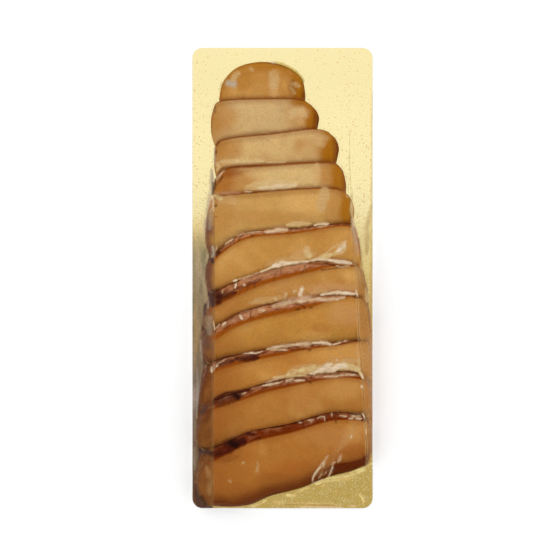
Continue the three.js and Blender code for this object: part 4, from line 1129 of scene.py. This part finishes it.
brush = {                      # lengths in half widths of the stroke
    "reach": 2.4,              # how far from its path a stroke is worked out
    "fade": 1.2,               # where it ends
    "taper": (0.45, 0.65),     # its width at its tips, and what is added in the middle
    "ragged": (0.25, 0.5),     # how ragged the edge is, of a firm tint and of a soft one
    "softFrom": 0.3,
    "wash": 0.4,               # the painted cream highlight around a milkyHighlight stroke, next to its own strength
    "washFade": (0.2, 2),
    "uneven": 0.5,
}

# Each noise on the film has a seed of its own, and each stroke adds its number to the last three.
seeds = {"crinkle": 900, "blotch": 901, "slack": 960, "crease": 970,
         "edge": 950, "streak": 1200, "uneven": 1500}


def paintCoats(paint, x, y):
    bare = smooth(*broadCoats["bare"], heightAt(pile, x, y))
    ends = np.array(roeEnds)[::-1]
    fromEnds = x - np.interp(y, ends[:, 1], ends[:, 0])
    fromLeft, fromRight = x - creaseLine("left", y[0]), x - creaseLine("right", y[0])
    blotch = noise(x, y, 4, seeds["blotch"])

    aside = smooth(-0.4, 0.4, fromEnds) * smooth(0.3, -0.3, fromLeft) * smooth(40, 24, y)
    least, most = broadCoats["ends"]
    nearEnd = broadCoats["endShade"] * (1 - smooth(0, broadCoats["endReach"], fromEnds))
    lay(paint, colourByHeight(endTints, y), aside * np.clip(least + 0.35 * blotch + nearEnd, 0, most))
    lay(paint, tints["notch"], broadCoats["notch"] * aside * bare)
    slack = smooth(0.3, -0.5, fromEnds) * smooth(34, 6, y)
    folds = 1 + broadCoats["slackFolds"] * noise(x * 1.6, y * 0.25, 2.4, seeds["slack"])
    slackColour = np.clip(colourByHeight(slackTints, y) * folds[..., None], 0, 255)
    lay(paint, slackColour, broadCoats["slack"] * slack)

    side = smooth(0.2, 1.2, fromRight) * smooth(12, 2, y)
    sideColour = colourByHeight(sideTints, y)
    lay(paint, sideColour, side * (1 - bare) * (broadCoats["side"] + 0.25 * blotch))
    bareSide = broadCoats["sideBare"] * side * bare
    bareSide = bareSide * smooth(*broadCoats["sideFrom"], y) * smooth(*broadCoats["sideTo"], y)
    lay(paint, sideColour, bareSide)
    # painted highlights on the lines beside each fold, and painted shade along the fold itself
    for name in ("left", "right"):
        uneven = 0.6 + 0.5 * noise(y, y * 0, 5, seeds["crease"] + len(name))
        beside = creaseShare(name, x, y, creases["brightWidth"], creases["brightAside"])
        lay(paint, tints["cream"], np.clip(creases["bright"][name] * uneven, 0, 1) * beside)
        dark = np.clip(creases["dark"] * uneven, 0, 1)
        lay(paint, tints["umber"], dark * creaseShare(name, x, y, creases["darkWidth"]))


def paintStroke(paint, x, y, count, tint, path, width, strength, streaky):
    distance, share, length = toPath(path, x, y)
    near = distance < brush["reach"] * width
    px, py = x[near], y[near]
    bulge = np.sqrt(np.clip(1 - (2 * share[near] - 1) ** 2, 0, 1)) if length > 4 * width else 1
    reach = distance[near] / (width * (brush["taper"][0] + brush["taper"][1] * bulge))
    ragged = brush["ragged"][soft[tint] > brush["softFrom"]]
    reach = reach + ragged * noise(px, py, max(1.6, 1.2 * width), seeds["edge"] + count)
    (ax, ay), (bx, by) = path[0], path[-1]
    turn = math.atan2(by - ay, bx - ax)
    along = px * math.cos(turn) + py * math.sin(turn)
    across = -px * math.sin(turn) + py * math.cos(turn)
    grainy = smooth(-0.3, 0.15, noise(along * 0.35, across, 1.5, seeds["streak"] + count))
    uneven = np.clip(0.85 + brush["uneven"] * noise(px, py, 3, seeds["uneven"] + count), 0, 1)
    lit = np.zeros(x.shape)
    # a painted cream highlight washes around each milky highlight
    if tint == "milkyHighlight":
        lit[near] = brush["wash"] * strength * (1 - smooth(*brush["washFade"], reach))
        lay(paint, tints["cream"], lit)
    fade = 1 - smooth(soft[tint], brush["fade"], reach)
    lit[near] = strength * uneven * fade * (1 - streaky * (1 - grainy))
    lay(paint, tints[tint], lit)


def paintFilm(x, y):
    paint = np.zeros(x.shape + (4,))
    paintCoats(paint, x, y)
    count = 0
    for tint, group in strokes:
        for stroke in group:
            count += 1
            paintStroke(paint, x, y, count, tint, *stroke)
    under = colourByHeight(film["under"], y)
    cover = paint[..., 3:]
    own = paint[..., :3] / np.maximum(cover, 0.01)
    kept = film["kept"] * cover * (1 - cover) * np.minimum(linear(under), own)
    paint[..., :3] = film["dim"] * (paint[..., :3] + kept)
    return paint


def roundCorners(x, y):
    radius = card["cornerRadius"]
    centre = np.array([card["width"], card["length"]]) / 2 - radius
    over = np.stack([np.abs(x) - centre[0], np.abs(y) - centre[1]], -1)
    corner = (over > 0).all(-1)
    length = np.minimum(over.max(-1), radius)
    over = over / np.maximum(np.linalg.norm(over, axis=-1), 1e-9)[..., None] * length[..., None]
    return (np.where(corner, np.sign(x) * (centre[0] + over[..., 0]), x),
            np.where(corner, np.sign(y) * (centre[1] + over[..., 1]), y))


def makeFilm():
    x = filmColumns()
    y = np.broadcast_to(gridY, x.shape)
    z, air = [heightAt(field, x, y) for field in filmHeights()]
    away = toEdge(x, y)
    crinkle = film["crinkle"] * noise(x * 0.6, y, 2.6, seeds["crinkle"], 2)
    z = z + crinkle * (film["crinkleBy"][0] + film["crinkleBy"][1] * air) * smooth(0, 2, away)
    for name in ("left", "right"):
        z = z + creases["height"] * creaseShare(name, x, y, creases["width"])
    paint = paintFilm(x, y)
    z = np.maximum(z, heightAt(pile, x, y) + film["least"])
    z = np.where(away <= 1e-6, card["top"] + film["edge"], z)
    z = np.minimum(z, cadBox[1].z / mm - film["inBox"])
    places = np.stack([*roundCorners(x, y), z], -1).reshape(-1, 3)
    return meshPiece("clearFilm", places, gridFaces(*x.shape), closed=False,
                     colours={"cast": paint[..., :3].reshape(-1, 3)},
                     shares={"air": air.ravel(), "cover": paint[..., 3].ravel()})


def filmMaterial():
    material, tree, shader = newMaterial("clearFilm", {"Specular IOR Level": film["mirror"]})
    air, cover = [addNode(tree, "ShaderNodeAttribute", attribute_name=name).outputs["Fac"]
                  for name in ("air", "cover")]
    cast = addNode(tree, "ShaderNodeAttribute", attribute_name="cast").outputs["Vector"]
    place = addNode(tree, "ShaderNodeTexCoord").outputs["Object"]
    stretch = addNode(tree, "ShaderNodeMapping", {"Vector": place, "Rotation": film["turn"],
                                                  "Scale": film["stretch"]})
    ripple = unevenness(tree, stretch.outputs[0], film["ripple"])
    clinging, overAir = film["bump"]
    strength = calculate(tree, "ADD", clinging, calculate(tree, "MULTIPLY", air, overAir))
    normal = bumpFrom(tree, ripple, strength, film["relief"])

    # alpha: what a clear film gives back at a slant, and the painted coats of highlight, reflection and
    # shade, broken up by the ripples
    back = addNode(tree, "ShaderNodeFresnel", {"IOR": 1.5, "Normal": normal})
    plain = calculate(tree, "SUBTRACT", back.outputs[0], film["straight"], True)
    plain = calculate(tree, "MINIMUM", calculate(tree, "MULTIPLY", plain, film["back"]), film["most"])
    painted = calculate(tree, "MULTIPLY", cover, ramp(tree, ripple, 0.38, 0.55, film["broken"]), True)

    # colour: cast is the coats' colour times their cover, so it is divided by that again
    share = calculate(tree, "DIVIDE", 1.0, calculate(tree, "MAXIMUM", cover, 0.01))
    own = addNode(tree, "ShaderNodeVectorMath", {0: cast, "Scale": share}, operation="SCALE")
    there = ramp(tree, cover, 0.01, 0.04)
    rough = ramp(tree, air, 0, 1, film["rough"])
    feed(tree, shader, {
        "Base Color": blend(tree, there, (1, 1, 1, 1), own.outputs[0]),
        "Metallic": calculate(tree, "SUBTRACT", 1.0, there),
        "Roughness": calculate(tree, "ADD", rough, calculate(tree, "MULTIPLY", cover, film["matt"])),
        "Normal": normal,
        "Alpha": calculate(tree, "ADD", plain, painted, True)})
    return material


# ---- making everything

def dress(piece, material, node):
    piece.data.materials.clear()
    piece.data.materials.append(material)
    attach(piece, "root")
    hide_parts(node)


roeLooks = roeMaterial(grainGroup())
for number, cut in enumerate(slices, 1):
    following = slices[number] if number < len(slices) else None
    dress(makeSlice(number, cut, following), roeLooks, "slice_%02d" % number)
print("slices laid")

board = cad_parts["board"]
boardLook = cardMaterial()
for place in board.material_slots:
    place.material = boardLook
print("card dressed")

dress(makeFilm(), filmMaterial(), "film")
print("film drawn over")


# ---- floor, light and camera

studio = {
    "floor": (0.85, 0.85, 0.85, 1),
    "floorHalf": 3,
    "softbox": {"size": (1.3, 0.85), "middle": (0, 0.46, 1.0), "glow": 0.85},
    "around": 1.18,
    "overhead": 0.6,       # the dimmer part of the room, straight above
}


def addObject(name, data):
    thing = bpy.data.objects.new(name, data)
    bpy.context.collection.objects.link(thing)
    return thing


def makeStudio():
    half = studio["floorHalf"]
    corners = [(-half, -half, 0), (half, -half, 0), (half, half, 0), (-half, half, 0)]
    mesh = bpy.data.meshes.new("floor")
    mesh.from_pydata(corners, [], [(0, 1, 2, 3)])
    mesh.materials.append(newMaterial("paleFloor", {"Roughness": 0.9, "Base Color": studio["floor"]})[0])
    floor = addObject("floor", mesh)

    box = studio["softbox"]
    lamp = bpy.data.lights.new("softbox", "AREA")
    lamp.shape = "RECTANGLE"
    lamp.size, lamp.size_y = box["size"]
    lamp.energy = box["glow"] * math.pi * lamp.size * lamp.size_y
    light = addObject("softbox", lamp)
    light.location = box["middle"]
    light.visible_camera = False

    world = bpy.data.worlds.new("room")
    world.use_nodes = True
    bpy.context.scene.world = world
    sky = world.node_tree
    toward = addNode(sky, "ShaderNodeTexCoord")
    up = addNode(sky, "ShaderNodeSeparateXYZ", {0: toward.outputs["Generated"]})
    glow = ramp(sky, up.outputs["Z"], 0.9, 0.98, (studio["around"], studio["overhead"]))
    sky.links.new(glow, sky.nodes["Background"].inputs["Strength"])
    sky.nodes["Background"].inputs["Color"].default_value = (1, 1, 1, 1)

    lens = bpy.data.cameras.new("camera")
    lens.sensor_width = shot["sensor"]
    lens.lens = shot["sensor"] * shot["distance"] / shot["frameWidth"]
    lens.clip_end = 10
    camera = addObject("camera", lens)
    camera.location = (shot["middle"][0] * mm, shot["middle"][1] * mm, shot["distance"] * mm)
    bpy.context.scene.camera = camera
    bpy.context.scene.view_settings.view_transform = "Standard"


makeStudio()
print("studio set")
